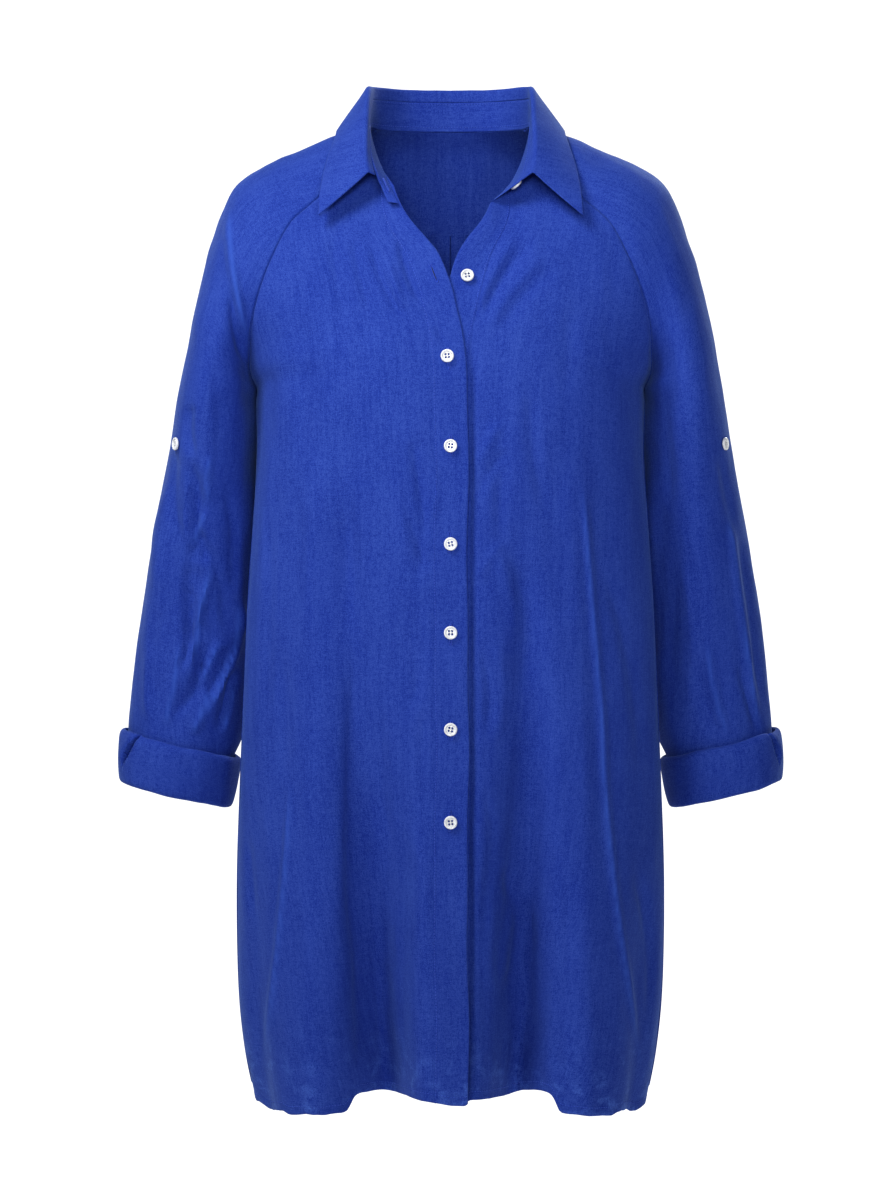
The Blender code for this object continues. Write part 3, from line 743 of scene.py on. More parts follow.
def arc(centre_y, centre_z, wrap, square, seam, angles):
    """Rows of points on arcs that cross the centre line level and end on the seam."""
    reach = ((1 - np.cos(angles)) / (1 - np.cos(wrap))) ** square
    x = seam[:, :1] * np.sin(angles) / np.sin(wrap)
    y = centre_y + (seam[:, 1:2] - centre_y) * reach
    z = centre_z + (seam[:, 2:3] - centre_z) * reach
    return np.stack([x, y, z], axis=2)


def folded(points, rows, offsets, panel):
    """The panel's points moved in or out by its folds: up where the cloth runs in, down where it runs out."""
    push = np.zeros(offsets.shape)
    for name, top, offset_top, offset_hem, depth, near, far in FOLDS:
        if name != panel:
            continue
        down = np.clip((rows - top) / (HEM_ROW - top), 0, 1)[:, None]
        from_middle = offsets - (offset_top + (offset_hem - offset_top) * down)
        width = np.where(from_middle < 0, near, far) * (FOLD_TOP_WIDTH + (1 - FOLD_TOP_WIDTH) * down)
        push += depth * ease(down) ** FOLD_RISE * np.exp(-((from_middle / width) ** 2))
    from_band = offsets - BAND_WIDTH / 2 + FOLD_CLEAR
    push *= ease((offsets[:, -1:] - offsets) / SEAM_FADE) * ease(from_band / CENTRE_FADE)
    facing = normals(points) if panel != "back" else -normals(points)
    points = points + facing * push[:, :, None]
    points[:, :, 2] += HEM_LIFT * np.maximum(-push, 0) - HEM_DROP * np.maximum(push, 0)
    return points


def at_hem(points, rows, lower):
    """The points of a panel with its last rows let down by this much and drawn in a little."""
    share = ease((rows - HEM_TRIM_ROW) / (HEM_ROW - HEM_TRIM_ROW))[:, None]
    points[:, :, 2] -= lower * share
    points[:, :, 0] *= 1 - HEM_PINCH * share
    return points


def front_surface(side, rows):
    """Fine rows of a front of the wearer's right or left, from its front edge to the seam, on the -X side."""
    columns = smooth(FRONT_ROWS, rows)
    centre_y, centre_z, wrap, square = (columns[:, [k]] for k in range(4))
    edge = columns[:, [4 if side == "right" else 5]]
    wrap = np.radians(wrap)
    seam = seam_points(rows, -1.0)
    first = -np.arcsin(edge * np.sin(wrap) / seam[:, :1])
    angles = first + (wrap - first) * np.linspace(0, 1, FINE_POINTS)[None, :]
    points = arc(centre_y, centre_z, wrap, square, seam, angles)
    flat = np.concatenate([points[:, :, :2], np.zeros(points.shape[:2] + (1,))], axis=2)
    offsets = lengths_of(flat) + edge
    points = folded(points, rows, offsets, side)
    from_edge = lengths_of(points)
    rolled = ease((NECK_ROLL_END_ROW - rows) / (NECK_ROLL_END_ROW - 1))[:, None]
    roll = NECK_ROLL * rolled * np.exp(-((from_edge / NECK_ROLL_WIDTH) ** 2))
    if side == "left":
        sunk = LAP_DROP + LAP_DROP_HEM * ease((rows - LAP_LOOSE_ROW) / (HEM_ROW - 1 - LAP_LOOSE_ROW))
        shown = np.where(rows[:, None] < NECK_ROLL_END_ROW - 2, roll, 0)
        roll = shown - sunk[:, None] * (1 - ease((from_edge - LAP_FLAT) / LAP_FADE))
        under = LAP_TROUGH * np.exp(-(((from_edge - LAP_TROUGH_AT) / LAP_TROUGH_WIDTH) ** 2))
        roll = roll - under * ease((rows - NECK_ROLL_END_ROW - 1) / 2)[:, None]
    points = points + normals(points) * roll[:, :, None]
    at, lower = np.array(HEM_TRIM).T
    trim = np.interp(points[:, :, 0] * (1 if side == "right" else -1), at, lower)
    return at_hem(points, rows, trim)


def back_surface(rows):
    """Fine rows of the back's right half, from the seam on the -X side to the centre back."""
    centre_y, centre_z, wrap, square = (smooth(BACK_ROWS, rows)[:, [k]] for k in range(4))
    wrap = np.radians(wrap)
    seam = seam_points(rows, 1.0)
    angles = wrap * np.linspace(1, 0, FINE_POINTS)[None, :]
    points = arc(centre_y, centre_z, wrap, square, seam, angles)
    along = lengths_of(points)
    offsets = along[:, -1:] - along
    points = folded(points[:, ::-1], rows, offsets[:, ::-1], "back")[:, ::-1]
    across = 1 - ease((offsets - PLEAT_WIDTH / 2 + PLEAT_SIDE / 2) / PLEAT_SIDE)
    pleat = PLEAT_HEIGHT * across * ease((rows - YOKE_SEAM_ROW) / PLEAT_RISE_ROWS)[:, None]
    points = points + normals(points) * pleat[:, :, None]
    return at_hem(points, rows, HEM_TRIM_SEAM * ease(1 - along / HEM_TRIM_REACH))


def creases_of(cloth, sharp):
    """Each crease of this cloth and the way it faces: all of them, or the sharp raised ones, narrower."""
    for (name, faces), creases in CREASES.items():
        if name != cloth:
            continue
        for *places, depth, left, right in creases:
            if not sharp:
                yield places, faces, depth, left, right
            elif depth >= SHARP_PUSH and min(left, right) <= SHARP_WIDTH:
                yield places, faces, depth, left * SHARP_SHARE, right * SHARP_SHARE


def crease_line(places):
    """Points along a crease, on the curve through its start, middle and end."""
    start, middle, end = np.array(places, float).reshape(3, 2)
    bend = 2 * middle - (start + end) / 2
    t = np.linspace(0, 1, CREASE_POINTS)[:, None]
    return start * (1 - t) ** 2 + bend * 2 * t * (1 - t) + end * t * t


def beside_line(spots, line):
    """How far along a line each spot lies (0 to 1), on which side of it, and how far from it."""
    starts, steps = line[:-1], np.diff(line, axis=0)
    part = np.clip(((spots[:, None] - starts) * steps).sum(2) / (steps**2).sum(1), 0, 1)
    away = spots[:, None] - starts - steps * part[:, :, None]
    distance = np.linalg.norm(away, axis=2)
    closest = distance.argmin(1)
    each = np.arange(len(spots))
    step, off = steps[closest], away[each, closest]
    side = step[:, 0] * off[:, 1] - step[:, 1] * off[:, 0]
    return (closest + part[each, closest]) / len(steps), side, distance[each, closest]


def crease_push(points, facing, cloth, sharp=False):
    """How far this cloth's creases push its points out: all of them, or only the sharp raised ones."""
    push = np.zeros(points.shape[:2])
    flat = points[:, :, ::2]
    for places, faces, depth, left, right in creases_of(cloth, sharp):
        line = crease_line(places)
        reach = CREASE_REACH * max(left, right)
        near = np.all((flat > line.min(0) - reach) & (flat < line.max(0) + reach), axis=2)
        if not near.any():
            continue
        along, side, distance = beside_line(flat[near], line)
        width = np.where(side < 0, left, right)
        taper = ease(along / CREASE_TAPER) * ease((1 - along) / CREASE_TAPER)
        turned = ease((facing[near][:, 1] * faces + CREASE_ROUND_BY) / CREASE_TURNS_IN)
        push[near] += depth * taper * turned * np.exp(-((distance / width) ** 2))
    return push * bpy.context.scene.shirt_cloth.crease_strength


def undulation(points):
    """The slight unevenness of washed linen: long soft waves down the cloth, with finer ones on them."""
    long_places = (points / LONG_WAVE).reshape(-1, 3).tolist()
    short_places = (points / SHORT_WAVE + (SHORT_WAVE_START, 0, 0)).reshape(-1, 3).tolist()
    made = [noise.noise(long) + SHORT_WAVE_SHARE * noise.noise(short)
            for long, short in zip(long_places, short_places)]
    return np.array(made).reshape(points.shape[:2]) * bpy.context.scene.shirt_cloth.unevenness / MM


def calm_at_buttons(points, cloth):
    """0 under each button, where the cloth lies flat, and 1 away from them."""
    calm = np.ones(points.shape[:2])
    for node in frame["nodes"]:
        if not node.startswith("button_" + cloth):
            continue
        low, high = (np.array(corner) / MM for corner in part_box(node))
        distance = np.linalg.norm(points - (low + high) / 2, axis=2)
        calm *= 1 - np.exp(-((distance / BUTTON_CALM) ** 4))
    return calm


def add_worn_highlight(mesh, cloth):
    """Marks where a highlight, partly real wear, is painted paler along the sharper of the cloth's raised
    creases.
    """
    verts = np.empty(len(mesh.vertices) * 3, dtype=np.float32)
    facing = np.empty(len(mesh.vertices) * 3, dtype=np.float32)
    mesh.vertices.foreach_get("co", verts)
    mesh.vertices.foreach_get("normal", facing)
    push = crease_push(verts.reshape(1, -1, 3) / MM, facing.reshape(1, -1, 3), cloth, sharp=True)[0]
    layer = mesh.attributes.new("Worn highlight", "FLOAT", "POINT")
    layer.data.foreach_set("value", np.clip(push / WORN_HIGHLIGHT_FULL, 0, 1).astype(np.float32))


def creased(points, cloth, fade=None):
    """A grid of points with its creases and unevenness, fading to none where fade is 0."""
    facing = normals(points)
    push = (crease_push(points, facing, cloth) + undulation(points)) * calm_at_buttons(points, cloth)
    if fade is not None:
        push = push * fade
    return points + facing * push[:, :, None]


def read_line(points, facing, distance):
    """The line at a distance along each row of points, and the way it faces."""
    return at_lengths(points, [distance])[:, 0], unit(at_lengths(points, [distance], facing)[:, 0])


def line_down(grid, distance):
    """A line that runs down a grid at a distance from its first column, and the way it faces."""
    return read_line(grid, normals(grid), distance)


def line_across(grid, distance):
    """A line that runs across a grid at a distance from its last row, and the way it faces."""
    points, facing = (layer[::-1].transpose(1, 0, 2) for layer in (grid, normals(grid)))
    return read_line(points, facing, distance)


def under_sleeve(rows, turn):
    """Points just under the right sleeve's cloth, going away from its front (-1) or its back seam (1)."""
    turns = np.sort(turn * np.linspace(UNDER_SLEEVE_FROM, 1, UNDER_SLEEVE_POINTS))
    surface = sleeve_surface(np.minimum(rows, UNDERARM_ROW), turns)
    inside = surface - normals(surface) * UNDER_SLEEVE
    return at_lengths(inside if turn < 0 else inside[:, ::-1], UNDER_SLEEVE_AT)


def seam_allowance(points, rows, beside, cross_until=HEM_ROW + 1):
    """The last column turned in: under the next piece down to a row, and below it under its own cloth."""
    facing = normals(points)[:, -1]
    edge = points[:, -1]
    back = unit(points[:, -2] - edge)
    cross = ease((cross_until - rows) / ALLOWANCE_CHANGE_ROWS)[:, None]
    turned = []
    for (laid_back, deep), (laid_on, deep_on) in zip(ALLOWANCE_BACK, ALLOWANCE_ACROSS):
        reach = laid_back * (1 - cross) + laid_on * cross
        sunk = deep * (1 - cross) + deep_on * cross
        turned.append(edge + back * reach - facing * sunk)
    turned = np.stack(turned, axis=1)
    raglan = ease((UNDER_SLEEVE_ENDS - rows) / ALLOWANCE_CHANGE_ROWS)[:, None, None]
    deepest = turned[:, -len(UNDER_SLEEVE_AT):]
    deepest += (beside - deepest) * raglan
    if rows[-1] == HEM_ROW:
        along = lengths_of(edge[None])[0]
        above_hem = ease((along[-1] - along - ALLOWANCE_STOPS) / ALLOWANCE_FADE)[:, None, None]
        share = ALLOWANCE_AT_HEM + (1 - ALLOWANCE_AT_HEM) * above_hem
        turned = edge[:, None] + (turned - edge[:, None]) * share
    return np.concatenate([points, turned], axis=1)


def hemmed(points):
    """The last row folded under and laid up inside, as a narrow hem."""
    width = bpy.context.scene.shirt_sewing.hem / MM
    facing = normals(points)[-1]
    down = unit(points[-1] - points[-2])
    up_columns = points[::-1].transpose(1, 0, 2)
    rises = at_lengths(up_columns, [*HEM_RISES, width - HEM_EDGE, width]).transpose(1, 0, 2)
    rows = [points[-1] + down * below - facing * depth for below, depth in HEM_FOLD]
    rows += [rise - facing * depth for rise, depth in zip(rises, HEM_DEPTHS)]
    return np.concatenate([points, np.stack(rows)], axis=0)


def new_object(name, mesh, material):
    """An object of this mesh that rides on the shirt and takes the finish of this slot."""
    made = bpy.data.objects.new(name, mesh)
    bpy.context.scene.collection.objects.link(made)
    mesh.materials.append(material)
    mesh.shade_smooth()
    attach(made, "root")
    return made


def grid_mesh(name, points, closed=False, hangs=True):
    """A mesh on a grid of points, in metres, with a map that follows the threads. Closed grids are tubes."""
    count, across = points.shape[:2]
    index = np.arange(count * across).reshape(count, across)
    if closed:
        index[:, -1] = index[:, 0]
    faces = np.stack([index[:-1, 1:], index[1:, 1:], index[1:, :-1], index[:-1, :-1]], axis=2).reshape(-1, 4)
    used, faces = np.unique(faces, return_inverse=True)
    mesh = bpy.data.meshes.new(name)
    mesh.from_pydata((points.reshape(-1, 3)[used] * MM).tolist(), [], faces.reshape(-1, 4).tolist())
    middle = int(np.argmin(np.abs(points[count // 2, :, 0]))) if hangs else across // 2
    across_cloth = lengths_of(points)
    across_cloth -= across_cloth[:, middle:middle + 1]
    down_cloth = lengths_of(points[:, middle][None])[0][:, None] * np.ones((1, across))
    spots = np.stack([across_cloth, -points[:, :, 2] if hangs else down_cloth], axis=2) * MM
    corners = np.stack([spots[:-1, 1:], spots[1:, 1:], spots[1:, :-1], spots[:-1, :-1]], axis=2)
    layer = mesh.uv_layers.new(name="Threads")
    layer.uv.foreach_set("vector", corners.reshape(-1).astype(np.float32))
    mesh.update()
    return mesh


def cloth_of(name):
    """The name that the table of creases uses for this piece."""
    return name.removesuffix("_cloth") if name.startswith(("sleeve", "cuff")) else name.split("_")[0]


def add_cloth(name, points, node, wall, closed=False, bevel=0.0, hangs=True):
    """A piece of cloth on a grid of points, walled inwards, which stands for a solid of the frame."""
    made = new_object(name, grid_mesh(name, points, closed, hangs), linen())
    shell = made.modifiers.new("Wall", "SOLIDIFY")
    shell.thickness = wall * MM
    shell.offset = -1
    if bevel:
        rounded = made.modifiers.new("Rounded edges", "BEVEL")
        rounded.width = bevel * MM
        rounded.segments = 2
        rounded.limit_method = "ANGLE"
        rounded.angle_limit = math.radians(60)
    bpy.context.view_layer.update()
    ready = bpy.data.meshes.new_from_object(made.evaluated_get(bpy.context.evaluated_depsgraph_get()))
    made.modifiers.clear()
    made.data = ready
    ready.name = name
    add_worn_highlight(ready, cloth_of(name))
    ready.set_sharp_from_angle(angle=math.radians(50))
    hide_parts(node)
    return made


def front_rows(side):
    """The fine rows of a front."""
    return even_rows(lambda rows: front_surface(side, rows)[:, FINE_POINTS // 2], 0, HEM_ROW, fine_end=True)


def on_side(side, grid):
    """A grid made on the -X side, put on the side that it belongs to."""
    return grid if side == "right" else mirrored(grid)


def front_band(side):
    """The band's outer layer on the -X side, from its slightly wavy front edge across, facing out."""
    points = at_lengths(front_surface(side, front_rows(side)), np.linspace(0, BAND_WIDTH, BAND_ACROSS))
    to_edge = np.linspace(1, 0, BAND_ACROSS)[None, :] ** 2
    height = points[:, :1, 2]
    wave = sum(size * np.sin(height / length + start) for size, length, start in BAND_WAVES)
    points[:, :, 0] += wave * to_edge * ease((BAND_WAVE_FROM - height) / BAND_WAVE_FADE)
    return on_side(side, creased(on_side(side, points), "front"))


def front_panel(side):
    """The front's cloth from under its band to the seam, facing out."""
    surface = front_surface(side, front_rows(side))
    shares = np.sort(np.concatenate([np.linspace(0, 1, PANEL_ACROSS), SEAM_SHARES]))
    panel = resample(surface, shares, start=BAND_WIDTH - TUCK, end=SEAM_INSET)
    along = lengths_of(panel)
    fade = ease((along[:, -1:] - along) / EDGE_TAPER)
    panel = on_side(side, creased(on_side(side, panel), "front", fade if side == "right" else fade[:, ::-1]))
    sunk = TUCK_DEPTH * (1 - ease((along - TUCK + TUCK_CLEAR) / TUCK_RISE))
    sunk += SEAM_GROOVE * np.exp(-(((along[:, -1:] - along) / SEAM_GROOVE_WIDTH) ** 2))
    return panel - normals(panel) * sunk[:, :, None]


def folded_band(side):
    """The band as one strip: across behind the front, round the front edge, and back over the top."""
    outer = front_band(side)
    facing = normals(outer)
    inside = outer[:, 1:][:, ::-1] - facing[:, 1:][:, ::-1] * FACING_DEPTH
    edge, out = outer[:, :1], facing[:, :1]
    away = unit(edge - outer[:, 1:2])
    fold = [edge + away * reach - out * depth for reach, depth in BAND_FOLD]
    end = outer[:, -1:] - facing[:, -1:] * BAND_END_SUNK
    return np.concatenate([inside, *fold, outer, end], axis=1)


def add_fronts():
    """Both fronts and, on their edges, the bands folded back over them."""
    wall = bpy.context.scene.shirt_cloth.thickness / MM
    for side in ("right", "left"):
        rows = front_rows(side)
        allowed = seam_allowance(front_panel(side), rows, under_sleeve(rows, -1), UNDERARM_ROW)
        panel = on_side(side, hemmed(allowed))
        cloth = add_cloth("front_" + side + "_cloth", panel, "front_" + side, wall)
        band = on_side(side, hemmed(folded_band(side)))
        cloth = add_cloth("front_band_" + side + "_cloth", band, "front_band_" + side, wall)


def back_rows(name):
    """The fine rows of the yoke or the back."""
    yoke, back = (0, YOKE_SEAM_ROW + YOKE_LAP_ROWS), (YOKE_SEAM_ROW - BACK_LAP_ROWS, HEM_ROW)
    first, last = yoke if name == "back_yoke" else back
    return even_rows(lambda at: back_surface(at)[:, FINE_POINTS // 2], first, last, fine_end=name == "back")


def back_cloth(name):
    """The yoke's or the back's cloth, from seam to seam, facing out."""
    rows = back_rows(name)
    shares = np.linspace(0, 1, BACK_ACROSS)
    if name == "back":
        shares = np.concatenate([shares, PLEAT_SHARES])
    shares = np.sort(np.concatenate([shares, 1 - SEAM_SHARES]))
    half = resample(back_surface(rows), shares, start=SEAM_INSET)
    whole = np.concatenate([half, mirrored(half)[:, 1:]], axis=1)
    along = lengths_of(whole)
    to_seam = np.minimum(along, along[:, -1:] - along)
    whole = creased(whole, "back", ease(to_seam / EDGE_TAPER))
    sunk = SEAM_GROOVE * np.exp(-((to_seam / SEAM_GROOVE_WIDTH) ** 2))
    whole = whole - normals(whole) * sunk[:, :, None]
    return whole if name == "back" else whole + normals(whole) * YOKE_STEP


def pleat_fold(side):
    """The cloth behind the box pleat on one side: from the pleat's edge to its middle, facing out."""
    rows = even_rows(lambda at: back_surface(at)[:, 0], YOKE_SEAM_ROW - 0.1, HEM_ROW - 0.05, step=6)
    surface = back_surface(rows)[:, ::-1]
    places, shares = np.array(PLEAT_STRIP, float).T
    strip = at_lengths(surface, places)
    facing = -normals(strip)
    sunk = PLEAT_HEIGHT * ease((rows - YOKE_SEAM_ROW) / PLEAT_RISE_ROWS)[:, None] * shares + PLEAT_CLEAR
    sunk[:, 0] += PLEAT_CLEAR / 2
    strip = (strip - facing * sunk[:, :, None])[:, ::-1]
    return on_side(side, strip)


def add_back():
    """The back yoke, the back with its box pleat, and the pleat's folds behind it."""
    wall = bpy.context.scene.shirt_cloth.thickness / MM
    for name in ("back_yoke", "back"):
        rows = back_rows(name)
        beside = under_sleeve(rows, 1) * TO_SIDE["left"]
        whole = seam_allowance(back_cloth(name), rows, beside)
        whole = seam_allowance(mirrored(whole), rows, beside)
        if name == "back":
            whole = hemmed(whole)
        cloth = add_cloth(name + "_cloth", whole, name, wall)
    for side in ("right", "left"):
        cloth = add_cloth("back_pleat_" + side, pleat_fold(side), "back", PLEAT_CLOTH)


def sleeve_points(side, rows, turns):
    """The sleeve's outer face on its own side, with its creases and the grooves of its seams."""
    points = sleeve_surface(rows, turns)
    points = on_side(side, points - normals(points) * SEAM_GAP)
    from_seam = 1 - np.abs(turns)[None, :]
    above_underarm = ease(UNDERARM_ROW + 1.0 - rows)[:, None]
    calm = above_underarm * (1 - ease(from_seam / SEAM_CALM))
    made = creased(points, "sleeve_" + side, ease(rows / NECK_CALM_ROWS)[:, None] * (1 - calm))
    fuller = np.exp(-(((rows - UNDERARM_FULL_ROW) / UNDERARM_FULL_ROWS) ** 2))
    fuller = UNDERARM_FULLNESS * fuller * ease((rows - UNDERARM_ROW) / UNDERARM_RISE_ROWS)
    fuller = fuller[:, None] * np.exp(-((from_seam / UNDERARM_FULL_TURN) ** 2))
    made = made + normals(made) * fuller[:, :, None]
    along = lengths_of(made)
    from_edge = np.minimum(along, along[:, -1:] - along)
    sunk = SEAM_GROOVE * np.exp(-((from_edge / SEAM_GROOVE_WIDTH) ** 2))
    made = made - normals(made) * sunk[:, :, None]
    made[rows >= UNDERARM_ROW, -1] = made[rows >= UNDERARM_ROW, 0]
    return made


def add_sleeves():
    """The raglan sleeves, open along their seams and tubes below the underarm."""
    wall = bpy.context.scene.shirt_cloth.thickness / MM
    last = len(SLEEVE_RINGS) - 1
    crown = np.zeros(1)
    for side in ("right", "left"):
        rows = even_rows(lambda at: sleeve_surface(at, crown)[:, 0], 0, last)
        rows = np.sort(np.append(rows, UNDERARM_ROW))
        seams = 2 * SEAM_SHARES - 1
        turns = np.sort(np.concatenate([np.linspace(-1, 1, SLEEVE_ACROSS), -seams, seams]))
        points = sleeve_points(side, rows, turns)
        cloth = add_cloth("sleeve_" + side + "_cloth", points, "sleeve_" + side, wall, hangs=False)


def slit_press(side, turns, below, away):
    """How far a layer of the cuff is pressed in at the slit, and lifted beside it where it is negative."""
    up_slit = np.clip((-below - SLIT_FOOT) / (SLIT_TOP - SLIT_FOOT), 0, 1)
    from_slit = turns - SLIT_TURN[side] + SLIT_SLANT[side] * (up_slit - 0.5)
    gape = SLIT_WIDTH * (SLIT_LEAST_GAPE + math.sin(math.pi * min(up_slit, SLIT_GAPE_UP)))
    press = SLIT_DEPTH * np.exp(-((from_slit / gape) ** 6)) * ease(up_slit / SLIT_RISE)
    press = np.clip(press, 0, max(away - SLIT_FLOOR, 0))
    lip = np.exp(-(((from_slit - SLIT_LIP_AT * gape) / SLIT_LIP_WIDTH) ** 2)) * ease(up_slit / SLIT_LIP_RISE)
    return press - SLIT_LIP * lip


def cuff_grid(side):
    """The rolled cuff with the slit at its outer side, from the sleeve's end round and up, facing out."""
    at_slit = SLIT_TURN[side] + np.linspace(-SLIT_ZONE, SLIT_ZONE, SLIT_ACROSS)
    turns = np.sort(np.concatenate([np.linspace(-1, 1, CUFF_ACROSS), at_slit]))
    last = len(SLEEVE_RINGS) - 1
    rows = np.linspace(last - CUFF_REACH_ROWS, last, CUFF_ROWS)
    sleeve = sleeve_surface(rows, turns)
    out = normals(sleeve)
    sleeve = sleeve - out * SEAM_GAP
    down = unit(sleeve[-1] - sleeve[-2])
    along = np.linalg.norm(sleeve[-1] - sleeve[0], axis=1).mean()
    profile = smooth(CUFF_PROFILE, np.linspace(0, len(CUFF_PROFILE) - 1, CUFF_LAYERS))
    wave = sum(size * np.sin(turns * often + start) for size, often, start in CUFF_WAVES)
    grid = []
    for below, away in profile:
        if below >= 0:
            base, normal = sleeve[-1] + down * below, out[-1]
        else:
            at = (1 + below / along) * (len(rows) - 1)
            low = int(at)
            part = at - low
            base = sleeve[low] * (1 - part) + sleeve[low + 1] * part
            normal = out[low]
        height = ease((-below + 4) / 44)
        loose = wave * CUFF_LOOSE * (1 - height)
        out_by = away - slit_press(side, turns, below, away) + loose
        grid.append(base + normal * out_by[:, None] - down * (wave * height * CUFF_EDGE_WAVE)[:, None])
    grid = np.stack(grid)
    grid[:, -1] = grid[:, 0]
    points = creased(on_side(side, grid), "cuff_" + side)
    points[:, -1] = points[:, 0]
    return points


def add_cuffs():
    """The rolled cuffs."""
    for side in ("right", "left"):
        node = "cuff_" + side
        cloth = add_cloth(node + "_cloth", cuff_grid(side), node, CUFF_CLOTH, closed=True, hangs=False)


def neckline(side):
    """Fine points of the neck edge from the centre back to the front edge, on the -X side."""
    row = np.array([0.0, 0.01])
    back = back_surface(row)[0][::-1]
    sleeve = sleeve_surface(row, np.linspace(1, -1, FINE_POINTS))[0]
    front = front_surface(side, row)[0][::-1]
    return np.concatenate([back, sleeve[1:-1], front])[None]


def collar_lines(side, shares):
    """The foot, fold and outer edge of one half of the collar at these shares of its length."""
    table = np.array(COLLAR_ROWS)
    row = np.interp(shares, table[:, 0], np.arange(len(table)))
    columns = smooth(COLLAR_ROWS, row)
    foot = resample(neckline(side), shares)[0] + np.array([0, 0, NECK_GAP])
    return foot, columns[:, 1:4], columns[:, 4:7]


def leaf_curve(foot, fold, edge):
    """Sections of the leaf: up from the stand's seam on the neck side, over the fold, down to its edge."""
    rise = fold - foot
    height = np.linalg.norm(rise, axis=1, keepdims=True)
    up = rise / height
    out = edge - fold
    out = unit(out - (out * up).sum(1, keepdims=True) * up)
    radius = LEAF_FOLD_RADIUS
    neck_side = out * (COLLAR_CLOTH / 2)
    seam = foot + up * (height * STAND_SHARE + LEAF_SEAM) - neck_side
    crest = fold - up * radius - neck_side
    fall = unit(edge - fold)
    bend = np.arccos((fall * up).sum(1, keepdims=True))
    section = [seam * (1 - t) + crest * t for t in LEAF_RISE_SHARES]
    for share in np.linspace(0, 1, LEAF_BEND_STEPS):
        angle = bend * share
        section.append(crest + out * radius * (1 - np.cos(angle)) + up * radius * np.sin(angle))
    start = section[-1]
    bow = start + (edge - start) * 0.5 + out * LEAF_BOW
    for t in np.linspace(0, 1, LEAF_FALL_STEPS)[1:]:
        section.append((1 - t) ** 2 * start + 2 * t * (1 - t) * bow + t * t * edge)
    return np.stack(section)


def stand_face(side, shares, levels, out_by):
    """Points on a face of the stand: levels from its foot (0) to its top (1), out_by from its middle."""
    foot, fold, edge = collar_lines(side, np.minimum(shares, 1))
    top = foot + (fold - foot) * STAND_SHARE
    out = edge - fold
    if side == "right":
        over = ease((shares - STAND_END_FROM) / (1 - STAND_END_FROM))[:, None]
        foot, top = (line + (np.array(end) - line[-1]) * over for line, end in zip((foot, top), STAND_END))
    rise = top - foot
    up = unit(rise)
    out = unit(out - (out * up).sum(1, keepdims=True) * up)
    return np.stack([foot + rise * level + out * reach for level, reach in zip(levels, out_by)])


def stand_half(side, shares):
    """One half of the stand as a tube, rounded at its edges and thinning to its end, from the centre back."""
    angles = np.linspace(0, 2 * math.pi, STAND_AROUND)
    levels = 0.5 - 0.5 * np.sign(np.cos(angles)) * np.abs(np.cos(angles)) ** 0.6
    reaches = STAND_HALF * np.sign(np.sin(angles)) * np.minimum(np.abs(np.sin(angles)) * 2.4, 1)
    to_end = ease((shares - STAND_ROUND_FROM) / (1 - STAND_ROUND_FROM))
    thin = np.sqrt(1 - (STAND_END_THIN * to_end) ** 2)
    face = stand_face(side, shares, levels, reaches)
    middle = stand_face(side, shares, levels, np.zeros(len(levels)))
    face = middle + (face - middle) * thin[None, :, None]
    centre = face.mean(0, keepdims=True)
    face[:, -1:] = centre[:, -1:] + (face[:, -1:] - centre[:, -1:]) * STAND_END_PINCH
    return face


def both_halves(right, left):
    """Two halves that were made on the -X side joined at the centre back, from end to end."""
    return np.concatenate([right[:, ::-1], (left * TO_SIDE["left"])[:, 1:]], axis=1)


def add_collar():
    """The stand, rounded at its edges and ends, and the leaf that folds over it."""
    shares = np.linspace(0, 1, COLLAR_ALONG)
    stand = both_halves(*(stand_half(side, shares) for side in ("right", "left")))
    mesh = grid_mesh("collar_stand_cloth", stand.transpose(1, 0, 2), closed=True, hangs=False)
    turn_outward(mesh, cap=True)
    made = new_object("collar_stand_cloth", mesh, linen())
    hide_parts("collar_stand")

    leaf = both_halves(*(leaf_curve(*collar_lines(side, shares)) for side in ("right", "left")))
    leaf = creased(leaf, "leaf", LEAF_CREASED)
    made = add_cloth("collar_leaf_cloth", leaf, "collar_leaf", LEAF_CLOTH, bevel=LEAF_EDGE, hangs=False)


def turn_outward(mesh, cap=False):
    """Makes the faces of closed shapes look out, with the open ends of a tube closed first."""
    shape = bmesh.new()
    shape.from_mesh(mesh)
    if cap:
        bmesh.ops.holes_fill(shape, edges=[edge for edge in shape.edges if edge.is_boundary])
    bmesh.ops.recalc_face_normals(shape, faces=shape.faces)
    shape.to_mesh(mesh)
    shape.free()


def add_stitching():
    """The rows of stitching on the bands, the hem, the yoke and the collar stand."""
    hem = bpy.context.scene.shirt_sewing.hem / MM - HEM_STITCH_IN
    hems = []
    for side in ("right", "left"):
        band, panel = front_band(side), front_panel(side)
        line, facing = line_down(band, BAND_WIDTH - BAND_STITCH_IN)
        flip = TO_SIDE[side]
        sew("stitches_band_" + side, (line * flip, facing * flip))
        for grid, tucked in ((band, 0), (panel, TUCK)):
            line, facing = line_across(grid, hem)
            shown = lengths_of(line[None])[0] >= tucked
            hems.append((line[shown] * flip, facing[shown] * flip))
    hems.append(line_across(back_cloth("back"), hem))
    sew("stitches_hem", *hems)
    yoke = back_cloth("back_yoke")
    line, facing = line_across(yoke, YOKE_STITCH_UP)
    wall = bpy.context.scene.shirt_cloth.thickness / MM
    sew("stitches_yoke", (line, facing), (line - facing * wall, -facing))

    shares = np.linspace(0, STAND_ROUND_FROM, STAND_STITCH_POINTS)
    rows = []
    for side in ("right", "left"):
        flip = TO_SIDE[side]
        for level in STAND_STITCH_LEVELS:
            for face in (-1, 1):
                middle, outside = stand_face(side, shares, (level, level), (0, face * STAND_HALF))
                rows.append((outside * flip, unit(outside - middle) * flip))
    sew("stitches_stand", *rows)


